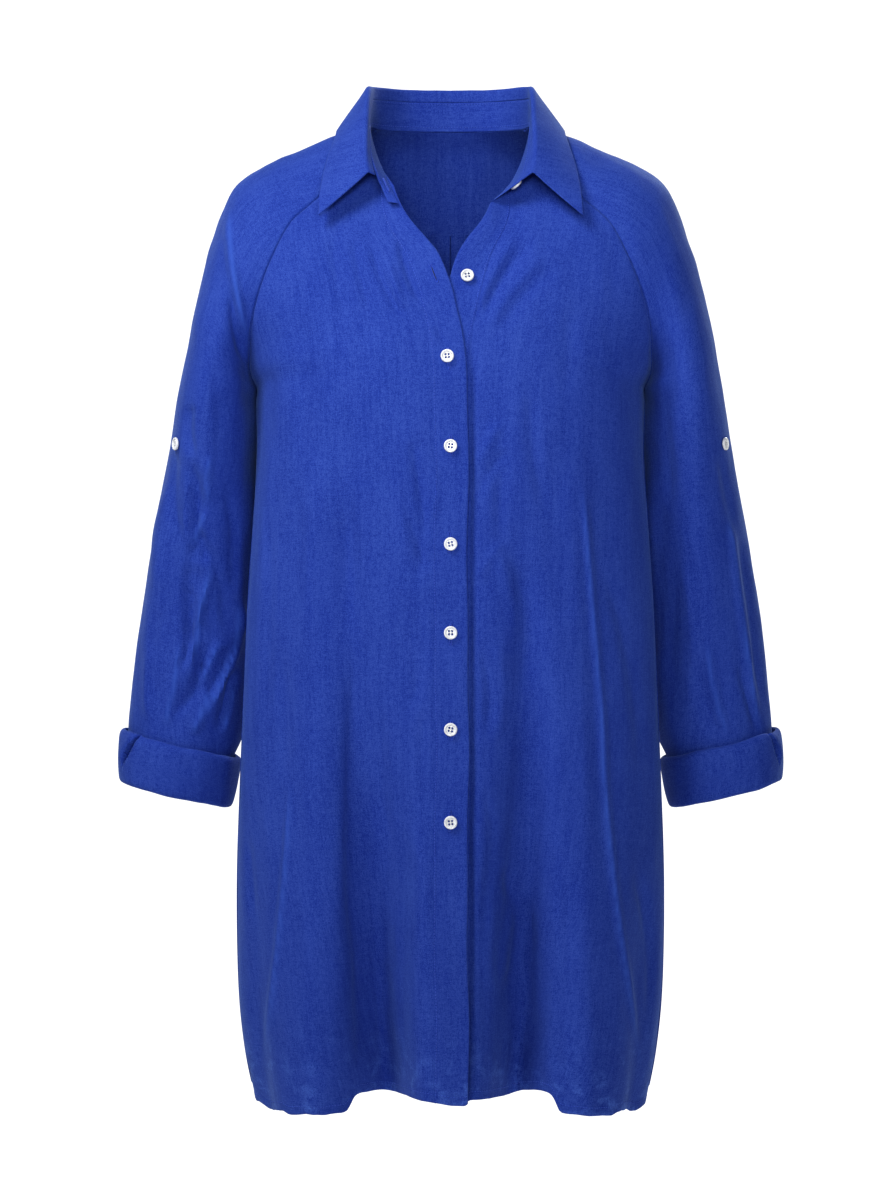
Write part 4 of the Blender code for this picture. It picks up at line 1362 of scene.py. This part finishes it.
def band_spot(side, height, inset=BAND_WIDTH / 2):
    """A place on a band at this height and this far from its edge, the way it faces and the way it runs."""
    line, facing = line_down(front_band(side), inset)
    flip = TO_SIDE[side]
    row = int(np.argmin(np.abs(line[:, 2] - height)))
    return line[row] * flip, facing[row] * flip, unit(line[row + 2] - line[row - 2]) * flip


def add_buttonholes():
    """Worked buttonholes: six behind the fastened buttons, one open on the band, and one on the stand; the
    open slits hold a dark spindle as painted shade.
    """
    length = bpy.context.scene.shirt_sewing.buttonhole / MM
    shapes = []
    for side, height, _ in FRONT_BUTTONS:
        if side == "right":
            shapes += buttonhole_shapes(*band_spot("right", height), length)
    empty = band_spot("right", EMPTY_BUTTONHOLE_HEIGHT, EMPTY_BUTTONHOLE_INSET)
    shapes += buttonhole_shapes(*empty, length)
    # The open slits are filled with a near-black spindle: painted shade.
    slit_shades = [slit_shade_shape(*empty, length)]
    stitches_object("buttonholes_band", shapes, thread("Cobalt buttonhole thread", 1.9))
    length *= STAND_HOLE_SHARE
    shapes = []
    for face in (-1, 1):
        middle = stand_face("right", np.array(STAND_HOLE_AT), (0.5, 0.5), (0, STAND_HALF * face))
        facing = unit(middle[1, 1] - middle[0, 1])
        along = unit(middle[1, 2] - middle[1, 0])
        shapes += buttonhole_shapes(middle[1, 1], facing, along, length)
        slit_shades.append(slit_shade_shape(middle[1, 1], facing, along, length))
    stitches_object("buttonhole_stand", shapes, thread("Cobalt buttonhole thread", 1.9))
    stitches_object("buttonhole_slits", slit_shades, thread("Painted shade of the buttonhole slits", 0.08))


def turned_button():
    """A button's mesh, turned from its profile, with a dished face and a raised rim."""
    across = bpy.context.scene.shirt_sewing.button
    size = np.array([across / 2, across * BUTTON_THICKNESS_SHARE])
    outline = smooth(BUTTON_PROFILE, np.linspace(0, len(BUTTON_PROFILE) - 1, BUTTON_PROFILE_POINTS)) * size
    around = np.linspace(0, 2 * math.pi, BUTTON_AROUND + 1)[:-1]
    shape = bmesh.new()
    top, bottom = shape.verts.new((0, 0, outline[0, 1])), shape.verts.new((0, 0, outline[-1, 1]))
    rings = []
    for r, z in outline[1:-1]:
        rings.append([shape.verts.new((r * math.cos(a), r * math.sin(a), z)) for a in around])
    for k in range(BUTTON_AROUND):
        after = (k + 1) % BUTTON_AROUND
        shape.faces.new((top, rings[0][k], rings[0][after]))
        shape.faces.new((bottom, rings[-1][after], rings[-1][k]))
        for upper, lower in zip(rings[:-1], rings[1:]):
            shape.faces.new((upper[k], lower[k], lower[after], upper[after]))
    bmesh.ops.recalc_face_normals(shape, faces=shape.faces)
    mesh = bpy.data.meshes.new("Button")
    shape.to_mesh(mesh)
    shape.free()
    return mesh


def drills():
    """The rods that leave a button's four holes."""
    shape = bmesh.new()
    radius = HOLE_RADIUS * MM
    for x, y in HOLE_PLACES:
        place = Matrix.Translation((x * MM, y * MM, DRILL_HEIGHT * MM))
        bmesh.ops.create_cone(shape, segments=18, cap_ends=True, radius1=radius, radius2=radius,
                              depth=DRILL_LENGTH * MM, matrix=place)
    mesh = bpy.data.meshes.new("Drills")
    shape.to_mesh(mesh)
    shape.free()
    return mesh


def button_mesh():
    """One button with its four holes drilled."""
    button = bpy.data.objects.new("Button blank", turned_button())
    tool = bpy.data.objects.new("Drills", drills())
    for made in (button, tool):
        bpy.context.scene.collection.objects.link(made)
    cut = button.modifiers.new("Holes", "BOOLEAN")
    cut.object = tool
    cut.solver = "EXACT"
    bpy.context.view_layer.update()
    ready = bpy.data.meshes.new_from_object(button.evaluated_get(bpy.context.evaluated_depsgraph_get()))
    bpy.data.objects.remove(button)
    bpy.data.objects.remove(tool)
    return ready


def button_places():
    """Each button's node, the middle of its back, and the way it faces: the solids' own places."""
    places = []
    for number, (side, height, lift) in enumerate(FRONT_BUTTONS, 1):
        surface = front_surface(side, np.linspace(1, HEM_ROW - 1, BUTTON_LINE_SAMPLES))
        line, facing = line_down(surface, BAND_WIDTH / 2)
        row = int(np.argmin(np.abs(line[:, 2] - height)))
        flip = TO_SIDE[side]
        places.append((f"button_front_{number}", (line[row] + facing[row] * lift) * flip, facing[row] * flip))
    near = np.array([-0.01, 0, 0.01])
    patch = sleeve_surface(SLEEVE_BUTTON_ROW + 2 * near, SLEEVE_BUTTON_TURN + near)
    point, facing = patch[1, 1], normals(patch)[1, 1]
    for side, flip in TO_SIDE.items():
        places.append(("button_sleeve_" + side, (point + facing * SEAM_GAP) * flip, facing * flip))
    foot, fold, _ = collar_lines("left", np.array(STAND_BUTTON_AT))
    grid = np.stack([foot, foot + (fold - foot) * STAND_BUTTON_SHARE, fold])
    facing = -normals(grid)[1, 1]
    if facing[0] > 0:
        facing = -facing
    point = grid[1, 1] + facing * (COLLAR_CLOTH / 2 + SEAM_GAP)
    places.append(("button_stand", point * TO_SIDE["left"], facing * TO_SIDE["left"]))
    return places


def add_buttons():
    """The white buttons, where their solids are, each sewn on with two bars of white thread."""
    blank = button_mesh()
    threads = []
    for number, (node, place, facing) in enumerate(button_places()):
        turn = Vector(facing).to_track_quat("Z", "Y").to_matrix().to_4x4()
        turn = turn @ Matrix.Rotation(math.radians(BUTTON_TURNS[number]), 4, "Z")
        set_down = Matrix.Translation(Vector(place) * MM) @ turn
        mesh = blank.copy()
        mesh.transform(set_down)
        made = new_object(node + "_turned", mesh, button_white())
        mesh.set_sharp_from_angle(angle=math.radians(40))
        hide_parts(node)
        across, up = (np.array(set_down.to_3x3() @ Vector(way)) for way in ((1, 0, 0), (0, 1, 0)))
        for row in (-1, 1):
            middle = place + facing * THREAD_HEIGHT + up * HOLE_OUT * row
            for strand in (-STRAND_APART, STRAND_APART):
                start = middle + across * HOLE_OUT - up * strand - facing * THREAD_SUNK
                end = middle - across * HOLE_OUT + up * strand * 0.6 - facing * THREAD_SUNK
                threads.append(stitch_shape(start, end, facing, THREAD_WIDTH, THREAD_ROUND))
    stitches_object("button_thread", threads, white_thread())


def stitch_shape(start, end, facing, width, height):
    """One stitch as a small closed spindle that lies half sunk in the cloth."""
    run = end - start
    across = unit(np.cross(facing, run))
    points = [start - facing * STITCH_POINT_SUNK]
    for share, size in STITCH_RINGS:
        middle = start + run * share
        half, up = across * (width / 2 * size), facing * (height * size)
        points += [middle + half, middle + up, middle - half, middle - facing * STITCH_SUNK]
    points.append(end - facing * STITCH_POINT_SUNK)
    return np.array(points)


def spindle_faces():
    """The faces of a stitch."""
    faces = [(0, 1 + (k + 1) % 4, 1 + k, 0) for k in range(4)]
    for ring in (1, 5):
        for k in range(4):
            after = (k + 1) % 4
            faces.append((ring + k, ring + after, ring + 4 + after, ring + 4 + k))
    faces += [(9 + k, 9 + (k + 1) % 4, 13, 9 + k) for k in range(4)]
    return faces


STITCH_FACES = [tuple(dict.fromkeys(face)) for face in spindle_faces()]


def stitches_object(name, shapes, material):
    """Many stitches as one piece."""
    mesh = bpy.data.meshes.new(name)
    verts = np.concatenate(shapes) * MM
    count = len(shapes[0])
    faces = [tuple(corner + count * k for corner in face)
             for k in range(len(shapes)) for face in STITCH_FACES]
    mesh.from_pydata(verts.tolist(), [], faces)
    made = new_object(name, mesh, material)
    turn_outward(mesh)
    return made


def sew(name, *lines):
    """Rows of lockstitch along lines that lie on the cloth. Each line is its points and the way they face."""
    settings = bpy.context.scene.shirt_sewing
    pitch, width = settings.stitch_pitch / MM, settings.thread_width / MM
    shapes = []
    for points, facing in lines:
        total = lengths_of(points[None])[0, -1]
        count = max(int(total / pitch), 2)
        at = (np.arange(count) + 0.5) * total / count
        ways = unit(at_lengths(points[None], at, facing[None])[0])
        starts, ends = (at_lengths(points[None], at + share * pitch)[0] + ways * STITCH_LIFT
                        for share in (-STITCH_SHARE, STITCH_SHARE))
        for start, end, way in zip(starts, ends, ways):
            shapes.append(stitch_shape(start, end, way, width, width * 0.5))
    return stitches_object(name, shapes, thread())


def buttonhole_shapes(centre, facing, along, length):
    """The close stitches on both sides of a slit, with a bar at each end."""
    across = unit(np.cross(facing, along))
    shapes = []
    for step in np.linspace(-0.5, 0.5, int(length / HOLE_STITCH_PITCH)):
        for side in (-1, 1):
            middle = centre + along * length * step
            inner, outer = (middle + across * side * reach for reach in (HOLE_STITCH_FROM, HOLE_STITCH_TO))
            shapes.append(stitch_shape(inner, outer, facing, HOLE_STITCH_WIDTH, 0.5))
    reach = across * HOLE_STITCH_TO
    for end in (-0.5, 0.5):
        for step in BAR_STEPS:
            middle = centre + along * (length * end + math.copysign(step, end))
            shapes.append(stitch_shape(middle - reach, middle + reach, facing, HOLE_STITCH_WIDTH, 0.6))
    return shapes


def slit_shade_shape(centre, facing, along, length):
    """A dark spindle as the painted shade in the cut between the two sides of a buttonhole."""
    half = along * length * SLIT_SHARE
    return stitch_shape(centre - half, centre + half, facing, 0.8, 0.25)


def socket_of(group, kind, name, socket_type, value=None):
    """A named input or output on a node group."""
    made = group.interface.new_socket(name=name, in_out=kind, socket_type=socket_type)
    if value is not None:
        made.default_value = value
    return made


def maths(tree, operation, first, second=None, third=None):
    """A Math node that works on sockets or plain numbers; its result."""
    node = tree.nodes.new("ShaderNodeMath")
    node.operation = operation
    for socket, value in zip(node.inputs, (first, second, third)):
        if value is None:
            continue
        if isinstance(value, (int, float)):
            socket.default_value = value
        else:
            tree.links.new(value, socket)
    return node.outputs[0]


def stretched_noise(tree, place, scale, detail, seed):
    """Noise on stretched coordinates, as a value about one half."""
    stretch = tree.nodes.new("ShaderNodeVectorMath")
    stretch.operation = "MULTIPLY_ADD"
    tree.links.new(place, stretch.inputs[0])
    stretch.inputs[1].default_value = scale
    stretch.inputs[2].default_value = (seed, seed * 0.7, seed * 1.3)
    made = tree.nodes.new("ShaderNodeTexNoise")
    made.inputs["Scale"].default_value = 1
    made.inputs["Detail"].default_value = detail
    made.inputs["Roughness"].default_value = 0.6
    tree.links.new(stretch.outputs[0], made.inputs["Vector"])
    return made.outputs["Fac"]


def weave_group():
    """Slub linen: warp and weft of uneven thickness and dye. Threads is the map, in metres of cloth."""
    found = bpy.data.node_groups.get("Slub linen weave")
    if found:
        return found
    group = bpy.data.node_groups.new("Slub linen weave", "ShaderNodeTree")
    socket_of(group, "INPUT", "Threads", "NodeSocketVector")
    socket_of(group, "INPUT", "Thread pitch", "NodeSocketFloat", 0.0007)
    socket_of(group, "INPUT", "Slub", "NodeSocketFloat", 1.0)
    socket_of(group, "OUTPUT", "Shade", "NodeSocketFloat")
    socket_of(group, "OUTPUT", "Height", "NodeSocketFloat")
    taken = group.nodes.new("NodeGroupInput")
    given = group.nodes.new("NodeGroupOutput")
    place = taken.outputs["Threads"]
    apart = group.nodes.new("ShaderNodeSeparateXYZ")
    group.links.new(place, apart.inputs[0])
    turn = maths(group, "DIVIDE", math.pi, taken.outputs["Thread pitch"])
    warp = maths(group, "SINE", maths(group, "MULTIPLY", apart.outputs["X"], turn))
    weft = maths(group, "SINE", maths(group, "MULTIPLY", apart.outputs["Y"], turn))
    over_under = maths(group, "MULTIPLY", warp, weft)
    threads = maths(group, "ADD", maths(group, "ABSOLUTE", warp), maths(group, "ABSOLUTE", weft))
    slubs = 0
    for across, down, detail, seed, weight in SLUBS:
        slub = stretched_noise(group, place, (1 / (across * MM), 1 / (down * MM), 1), detail, seed)
        slubs = maths(group, "ADD", slubs, maths(group, "MULTIPLY", slub, weight))
    slubs = maths(group, "SUBTRACT", slubs, SLUB_MIDDLE)
    uneven = maths(group, "MULTIPLY", slubs, taken.outputs["Slub"])
    relief = maths(group, "MULTIPLY", maths(group, "SUBTRACT", threads, THREADS_MIDDLE), 0.10)
    shade = maths(group, "ADD", maths(group, "MULTIPLY_ADD", uneven, 3.5, 0.5), relief)
    height = maths(group, "MULTIPLY_ADD", over_under, 0.12, maths(group, "MULTIPLY", threads, 0.12))
    height = maths(group, "ADD", height, maths(group, "MULTIPLY", uneven, 1.4))
    group.links.new(shade, given.inputs["Shade"])
    group.links.new(height, given.inputs["Height"])
    return group


def mixed(tree, share, first, second):
    """A colour between two, each a socket or a plain colour."""
    node = tree.nodes.new("ShaderNodeMix")
    node.data_type = "RGBA"
    tree.links.new(share, node.inputs["Factor"])
    for socket, value in ((node.inputs[6], first), (node.inputs[7], second)):
        if isinstance(value, tuple):
            socket.default_value = (*value, 1)
        else:
            tree.links.new(value, socket)
    return node.outputs[2]


def between(tree, value, low, high):
    """0 to 1 as a value passes from low to high, softly."""
    node = tree.nodes.new("ShaderNodeMapRange")
    node.interpolation_type = "SMOOTHSTEP"
    node.inputs["From Min"].default_value = low
    node.inputs["From Max"].default_value = high
    tree.links.new(value, node.inputs["Value"])
    return node.outputs["Result"]


def fresh_material(name, roughness):
    """A new node material and its shader."""
    made = bpy.data.materials.new(name)
    made.use_nodes = True
    shader = made.node_tree.nodes["Principled BSDF"]
    shader.inputs["Roughness"].default_value = roughness
    return made, shader


def dyed(colour, shares):
    """The colour with its red, green and blue taken by these shares."""
    return tuple(min(part * share, 1) for part, share in zip(colour, shares))


def linen():
    """The washed linen: its weave, slubs and cloudy dye, with painted light showing through in patches low on
    the shirt, and a painted highlight with some wear along its sharp creases.
    """
    found = bpy.data.materials.get("Cobalt linen")
    if found:
        return found
    settings = bpy.context.scene.shirt_cloth
    made, shader = fresh_material("Cobalt linen", 0.86)
    tree = made.node_tree
    weave = tree.nodes.new("ShaderNodeGroup")
    weave.node_tree = weave_group()
    weave.inputs["Thread pitch"].default_value = settings.thread_pitch
    weave.inputs["Slub"].default_value = settings.slub
    threads = tree.nodes.new("ShaderNodeUVMap")
    threads.uv_map = "Threads"
    tree.links.new(threads.outputs["UV"], weave.inputs["Threads"])
    place = tree.nodes.new("ShaderNodeTexCoord").outputs["Object"]
    cloud = stretched_noise(tree, place, (28, 28, 14), 3, 5)
    colour = settings.colour
    shade = maths(tree, "ADD", weave.outputs["Shade"], maths(tree, "MULTIPLY_ADD", cloud, 0.4, -0.2))
    cloth = mixed(tree, between(tree, shade, -0.15, 1.15), dyed(colour, DARK_DYE), dyed(colour, LIGHT_DYE))
    apart = tree.nodes.new("ShaderNodeSeparateXYZ")
    tree.links.new(place, apart.inputs[0])
    # Painted light: pale patches low on the shirt stand in for light showing through the thin cloth at the
    # hem.
    low = between(tree, apart.outputs["Z"], -0.80, -0.885)
    hem_light_patches = between(tree, stretched_noise(tree, place, (55, 55, 75), 4, 9), 0.48, 0.68)
    open_weave = maths(tree, "MULTIPLY_ADD", weave.outputs["Shade"], 1.3, 0.1)
    painted_hem_light = maths(tree, "MULTIPLY", maths(tree, "MULTIPLY", low, hem_light_patches), open_weave)
    cloth = mixed(tree, painted_hem_light, cloth, dyed(colour, PAINTED_HEM_LIGHT))
    # Painted highlight, partly real wear: the sharp raised creases are made paler where they would catch the
    # light.
    worn_highlight_node = tree.nodes.new("ShaderNodeAttribute")
    worn_highlight_node.attribute_name = "Worn highlight"
    worn_highlight = maths(tree, "MULTIPLY", worn_highlight_node.outputs["Fac"], 0.6)
    cloth = mixed(tree, worn_highlight, cloth, dyed(colour, WORN_HIGHLIGHT_DYE))
    tree.links.new(cloth, shader.inputs["Base Color"])
    bump = tree.nodes.new("ShaderNodeBump")
    bump.inputs["Strength"].default_value = 0.55
    bump.inputs["Distance"].default_value = 0.0003
    tree.links.new(weave.outputs["Height"], bump.inputs["Height"])
    tree.links.new(bump.outputs["Normal"], shader.inputs["Normal"])
    rough = maths(tree, "MULTIPLY_ADD", weave.outputs["Shade"], -0.1, 0.92)
    tree.links.new(rough, shader.inputs["Roughness"])
    shader.inputs["Specular IOR Level"].default_value = 0.22
    shader.inputs["Sheen Weight"].default_value = 0.14
    shader.inputs["Sheen Roughness"].default_value = 0.45
    shader.inputs["Sheen Tint"].default_value = (0.35, 0.6, 1, 1)
    return made


def thread(name="Cobalt sewing thread", lift=1.75):
    """Sewing thread in the cloth's colour, a little brighter or darker, with its twist; at a very low lift,
    the painted shade in the buttonhole slits.
    """
    found = bpy.data.materials.get(name)
    if found:
        return found
    made, shader = fresh_material(name, 0.55)
    tree = made.node_tree
    place = tree.nodes.new("ShaderNodeTexCoord").outputs["Object"]
    twist = stretched_noise(tree, place, (2600, 2600, 2600), 1, 2)
    colour = bpy.context.scene.shirt_cloth.colour
    plain = tuple(min(part * lift, 0.75) for part in colour)
    dark = tuple(part * 0.8 for part in plain)
    tree.links.new(mixed(tree, twist, dark, plain), shader.inputs["Base Color"])
    shader.inputs["Specular IOR Level"].default_value = 0.35
    shader.inputs["Sheen Weight"].default_value = 0.1
    return made


def button_white():
    """Polished white buttons with a faint cloudiness."""
    found = bpy.data.materials.get("White button")
    if found:
        return found
    made, shader = fresh_material("White button", 0.28)
    tree = made.node_tree
    place = tree.nodes.new("ShaderNodeTexCoord").outputs["Object"]
    cloud = stretched_noise(tree, place, (420, 420, 160), 3, 6)
    colour = tuple(bpy.context.scene.shirt_sewing.button_colour)
    warm = dyed(colour, (0.93, 0.92, 0.90))
    tree.links.new(mixed(tree, between(tree, cloud, 0.35, 0.7), warm, colour), shader.inputs["Base Color"])
    tree.links.new(maths(tree, "MULTIPLY_ADD", cloud, 0.18, 0.2), shader.inputs["Roughness"])
    shader.inputs["Coat Weight"].default_value = 0.25
    return made


def white_thread():
    """The white thread that holds the buttons."""
    found = bpy.data.materials.get("White button thread")
    if found:
        return found
    made, shader = fresh_material("White button thread", 0.6)
    tree = made.node_tree
    place = tree.nodes.new("ShaderNodeTexCoord").outputs["Object"]
    twist = stretched_noise(tree, place, (2400, 2400, 2400), 1, 4)
    tree.links.new(mixed(tree, twist, (0.5, 0.52, 0.6), (0.78, 0.8, 0.86)), shader.inputs["Base Color"])
    return made


def floor_finish():
    """A seamless pale floor, as bright as the white surround where it is looked at."""
    made, shader = fresh_material("Studio floor", 0.8)
    tree = made.node_tree
    place = tree.nodes.new("ShaderNodeTexCoord").outputs["Object"]
    faint = stretched_noise(tree, place, (3, 3, 3), 2, 1)
    tree.links.new(mixed(tree, faint, (0.88, 0.88, 0.89), (0.92, 0.92, 0.92)), shader.inputs["Base Color"])
    glow = tree.nodes.new("ShaderNodeEmission")
    seen = tree.nodes.new("ShaderNodeLightPath")
    both = tree.nodes.new("ShaderNodeMixShader")
    output = tree.nodes["Material Output"]
    tree.links.new(seen.outputs["Is Camera Ray"], both.inputs["Fac"])
    tree.links.new(shader.outputs["BSDF"], both.inputs[1])
    tree.links.new(glow.outputs["Emission"], both.inputs[2])
    tree.links.new(both.outputs["Shader"], output.inputs["Surface"])
    return made


def add_light(name, light, place, target):
    """A light at a place, turned to face its target."""
    made = bpy.data.objects.new(name, light)
    made.location = place
    made.rotation_mode = "QUATERNION"
    made.rotation_quaternion = (Vector(target) - made.location).to_track_quat("-Z", "Y")
    bpy.context.scene.collection.objects.link(made)


def add_floor():
    """The pale floor, well below the hem."""
    place = (0, 0, FLOOR_HEIGHT)
    bpy.ops.mesh.primitive_circle_add(vertices=96, radius=FLOOR_RADIUS, fill_type="NGON", location=place)
    floor = bpy.context.object
    floor.name = "studio_floor"
    floor.data.materials.append(floor_finish())


def add_surround(strength):
    """A surround that is white where it is looked at and gives only a faint light."""
    scene = bpy.context.scene
    world = scene.world or bpy.data.worlds.new("Studio")
    scene.world = world
    world.use_nodes = True
    tree = world.node_tree
    tree.nodes.clear()
    output = tree.nodes.new("ShaderNodeOutputWorld")
    seen = tree.nodes.new("ShaderNodeBackground")
    lit = tree.nodes.new("ShaderNodeBackground")
    mix = tree.nodes.new("ShaderNodeMixShader")
    path = tree.nodes.new("ShaderNodeLightPath")
    seen.inputs["Color"].default_value = (1, 1, 1, 1)
    lit.inputs["Color"].default_value = (1, 1, 1, 1)
    lit.inputs["Strength"].default_value = strength
    tree.links.new(path.outputs["Is Camera Ray"], mix.inputs["Fac"])
    tree.links.new(lit.outputs["Background"], mix.inputs[1])
    tree.links.new(seen.outputs["Background"], mix.inputs[2])
    tree.links.new(mix.outputs["Shader"], output.inputs["Surface"])


def add_lights(key_power):
    """Soft lights all round, and a narrower one that reaches into the neck."""
    for name, place, size, power in SOFT_LIGHTS:
        light = bpy.data.lights.new(name, "AREA")
        light.size = size
        light.energy = key_power * power
        add_light(name, light, place, SHIRT_MIDDLE)
    light = bpy.data.lights.new("Neck light", "SPOT")
    light.energy = key_power * NECK_LIGHT_POWER
    light.shadow_soft_size = NECK_LIGHT_SIZE
    light.spot_size = math.radians(NECK_LIGHT_ANGLE)
    light.spot_blend = 1.0
    add_light("Neck light", light, NECK_LIGHT_PLACE, NECK_LIGHT_TARGET)


def add_camera():
    """The camera, level and square to the front."""
    scene = bpy.context.scene
    lens = bpy.data.cameras.new("Camera")
    lens.lens = CAMERA_LENS
    lens.sensor_width = CAMERA_SENSOR
    camera = bpy.data.objects.new("Camera", lens)
    camera.location = CAMERA_PLACE
    camera.rotation_euler = (math.radians(90), 0, 0)
    scene.collection.objects.link(camera)
    scene.camera = camera


def add_studio():
    """A pale floor, a white surround, soft lights and the camera."""
    scene = bpy.context.scene
    scene.view_settings.view_transform = "Standard"
    scene.view_settings.look = "Medium High Contrast"
    add_floor()
    add_surround(scene.shirt_studio.surround)
    add_lights(scene.shirt_studio.key_power)
    add_camera()


class ShirtCloth(bpy.types.PropertyGroup):
    """The cloth's sizes and colours."""

    thickness: bpy.props.FloatProperty(
        name="Cloth", description="Thickness of one layer of the linen", default=0.00055, unit="LENGTH"
    )
    unevenness: bpy.props.FloatProperty(
        name="Unevenness", description="Height of the soft waves in the linen", default=0.0012, unit="LENGTH"
    )
    crease_strength: bpy.props.FloatProperty(
        name="Creases", description="How deep the creases are, against their measured depth", default=2.4
    )
    colour: bpy.props.FloatVectorProperty(
        name="Linen", description="Colour of the linen", default=(0.0155, 0.0505, 0.318), subtype="COLOR"
    )
    thread_pitch: bpy.props.FloatProperty(
        name="Thread pitch", description="Distance from thread to thread", default=0.0007, unit="LENGTH"
    )
    slub: bpy.props.FloatProperty(name="Slub", description="How uneven the threads are", default=1.0)


class ShirtSewing(bpy.types.PropertyGroup):
    """The sizes of the sewing."""

    hem: bpy.props.FloatProperty(
        name="Hem", description="Width of the narrow hem", default=0.008, unit="LENGTH"
    )
    stitch_pitch: bpy.props.FloatProperty(
        name="Stitch pitch", description="Length from stitch to stitch", default=0.0027, unit="LENGTH"
    )
    thread_width: bpy.props.FloatProperty(
        name="Thread width", description="Width of a stitch", default=0.00055, unit="LENGTH"
    )
    buttonhole: bpy.props.FloatProperty(
        name="Buttonhole", description="Length of a buttonhole", default=0.0165, unit="LENGTH"
    )
    button: bpy.props.FloatProperty(
        name="Button", description="Diameter of the shirt buttons", default=0.0118, unit="LENGTH"
    )
    button_colour: bpy.props.FloatVectorProperty(
        name="Buttons", description="Colour of the buttons", default=(0.74, 0.76, 0.8), subtype="COLOR"
    )


class ShirtStudio(bpy.types.PropertyGroup):
    """The light."""

    key_power: bpy.props.FloatProperty(
        name="Key light", description="Power of the key light", default=54, unit="POWER"
    )
    surround: bpy.props.FloatProperty(
        name="Surround", description="Strength of the light from all round", default=0.1
    )


class SHIRT_OT_fronts(bpy.types.Operator):
    """Build both fronts and their bands"""

    bl_idname = "shirt.fronts"
    bl_label = "Fronts and bands"

    def execute(self, context):
        add_fronts()
        return {"FINISHED"}


class SHIRT_OT_back(bpy.types.Operator):
    """Build the yoke and the back"""

    bl_idname = "shirt.back"
    bl_label = "Back and yoke"

    def execute(self, context):
        add_back()
        return {"FINISHED"}


class SHIRT_OT_sleeves(bpy.types.Operator):
    """Build the raglan sleeves"""

    bl_idname = "shirt.sleeves"
    bl_label = "Sleeves"

    def execute(self, context):
        add_sleeves()
        return {"FINISHED"}


class SHIRT_OT_cuffs(bpy.types.Operator):
    """Build the turned-up cuffs"""

    bl_idname = "shirt.cuffs"
    bl_label = "Cuffs"

    def execute(self, context):
        add_cuffs()
        return {"FINISHED"}


class SHIRT_OT_collar(bpy.types.Operator):
    """Build the collar's stand and leaf"""

    bl_idname = "shirt.collar"
    bl_label = "Collar"

    def execute(self, context):
        add_collar()
        return {"FINISHED"}


class SHIRT_OT_stitching(bpy.types.Operator):
    """Sew the rows of stitching"""

    bl_idname = "shirt.stitching"
    bl_label = "Stitching"

    def execute(self, context):
        add_stitching()
        return {"FINISHED"}


class SHIRT_OT_buttonholes(bpy.types.Operator):
    """Work the buttonholes"""

    bl_idname = "shirt.buttonholes"
    bl_label = "Buttonholes"

    def execute(self, context):
        add_buttonholes()
        return {"FINISHED"}


class SHIRT_OT_buttons(bpy.types.Operator):
    """Put the buttons on"""

    bl_idname = "shirt.buttons"
    bl_label = "Buttons"

    def execute(self, context):
        add_buttons()
        return {"FINISHED"}


class SHIRT_OT_studio(bpy.types.Operator):
    """Build the floor, the lights and the camera"""

    bl_idname = "shirt.studio"
    bl_label = "Studio"

    def execute(self, context):
        add_studio()
        return {"FINISHED"}


class SHIRT_PT_panel(bpy.types.Panel):
    """The shirt's pieces and settings"""

    bl_idname = "SHIRT_PT_panel"
    bl_label = "Linen shirt"
    bl_space_type = "VIEW_3D"
    bl_region_type = "UI"
    bl_category = "Shirt"

    def draw(self, context):
        for settings in (context.scene.shirt_cloth, context.scene.shirt_sewing, context.scene.shirt_studio):
            for name in settings.__annotations__:
                self.layout.prop(settings, name)
        for operator in OPERATORS:
            self.layout.operator(operator.bl_idname)


SETTINGS = {"shirt_cloth": ShirtCloth, "shirt_sewing": ShirtSewing, "shirt_studio": ShirtStudio}
OPERATORS = (
    SHIRT_OT_fronts,
    SHIRT_OT_back,
    SHIRT_OT_sleeves,
    SHIRT_OT_cuffs,
    SHIRT_OT_collar,
    SHIRT_OT_stitching,
    SHIRT_OT_buttonholes,
    SHIRT_OT_buttons,
    SHIRT_OT_studio,
)


def register():
    for name, settings in SETTINGS.items():
        bpy.utils.register_class(settings)
        setattr(bpy.types.Scene, name, bpy.props.PointerProperty(type=settings))
    for operator in (*OPERATORS, SHIRT_PT_panel):
        bpy.utils.register_class(operator)


def unregister():
    for operator in (SHIRT_PT_panel, *reversed(OPERATORS)):
        bpy.utils.unregister_class(operator)
    for name, settings in SETTINGS.items():
        delattr(bpy.types.Scene, name)
        bpy.utils.unregister_class(settings)


def main():
    register()
    for old in [o for o in bpy.data.objects if o.name in ("Cube", "Light", "Camera")]:
        bpy.data.objects.remove(old)
    bpy.ops.shirt.fronts()
    bpy.ops.shirt.back()
    bpy.ops.shirt.sleeves()
    bpy.ops.shirt.cuffs()
    bpy.ops.shirt.collar()
    bpy.ops.shirt.stitching()
    bpy.ops.shirt.buttonholes()
    bpy.ops.shirt.buttons()
    bpy.ops.shirt.studio()


if __name__ == "__main__":
    main()
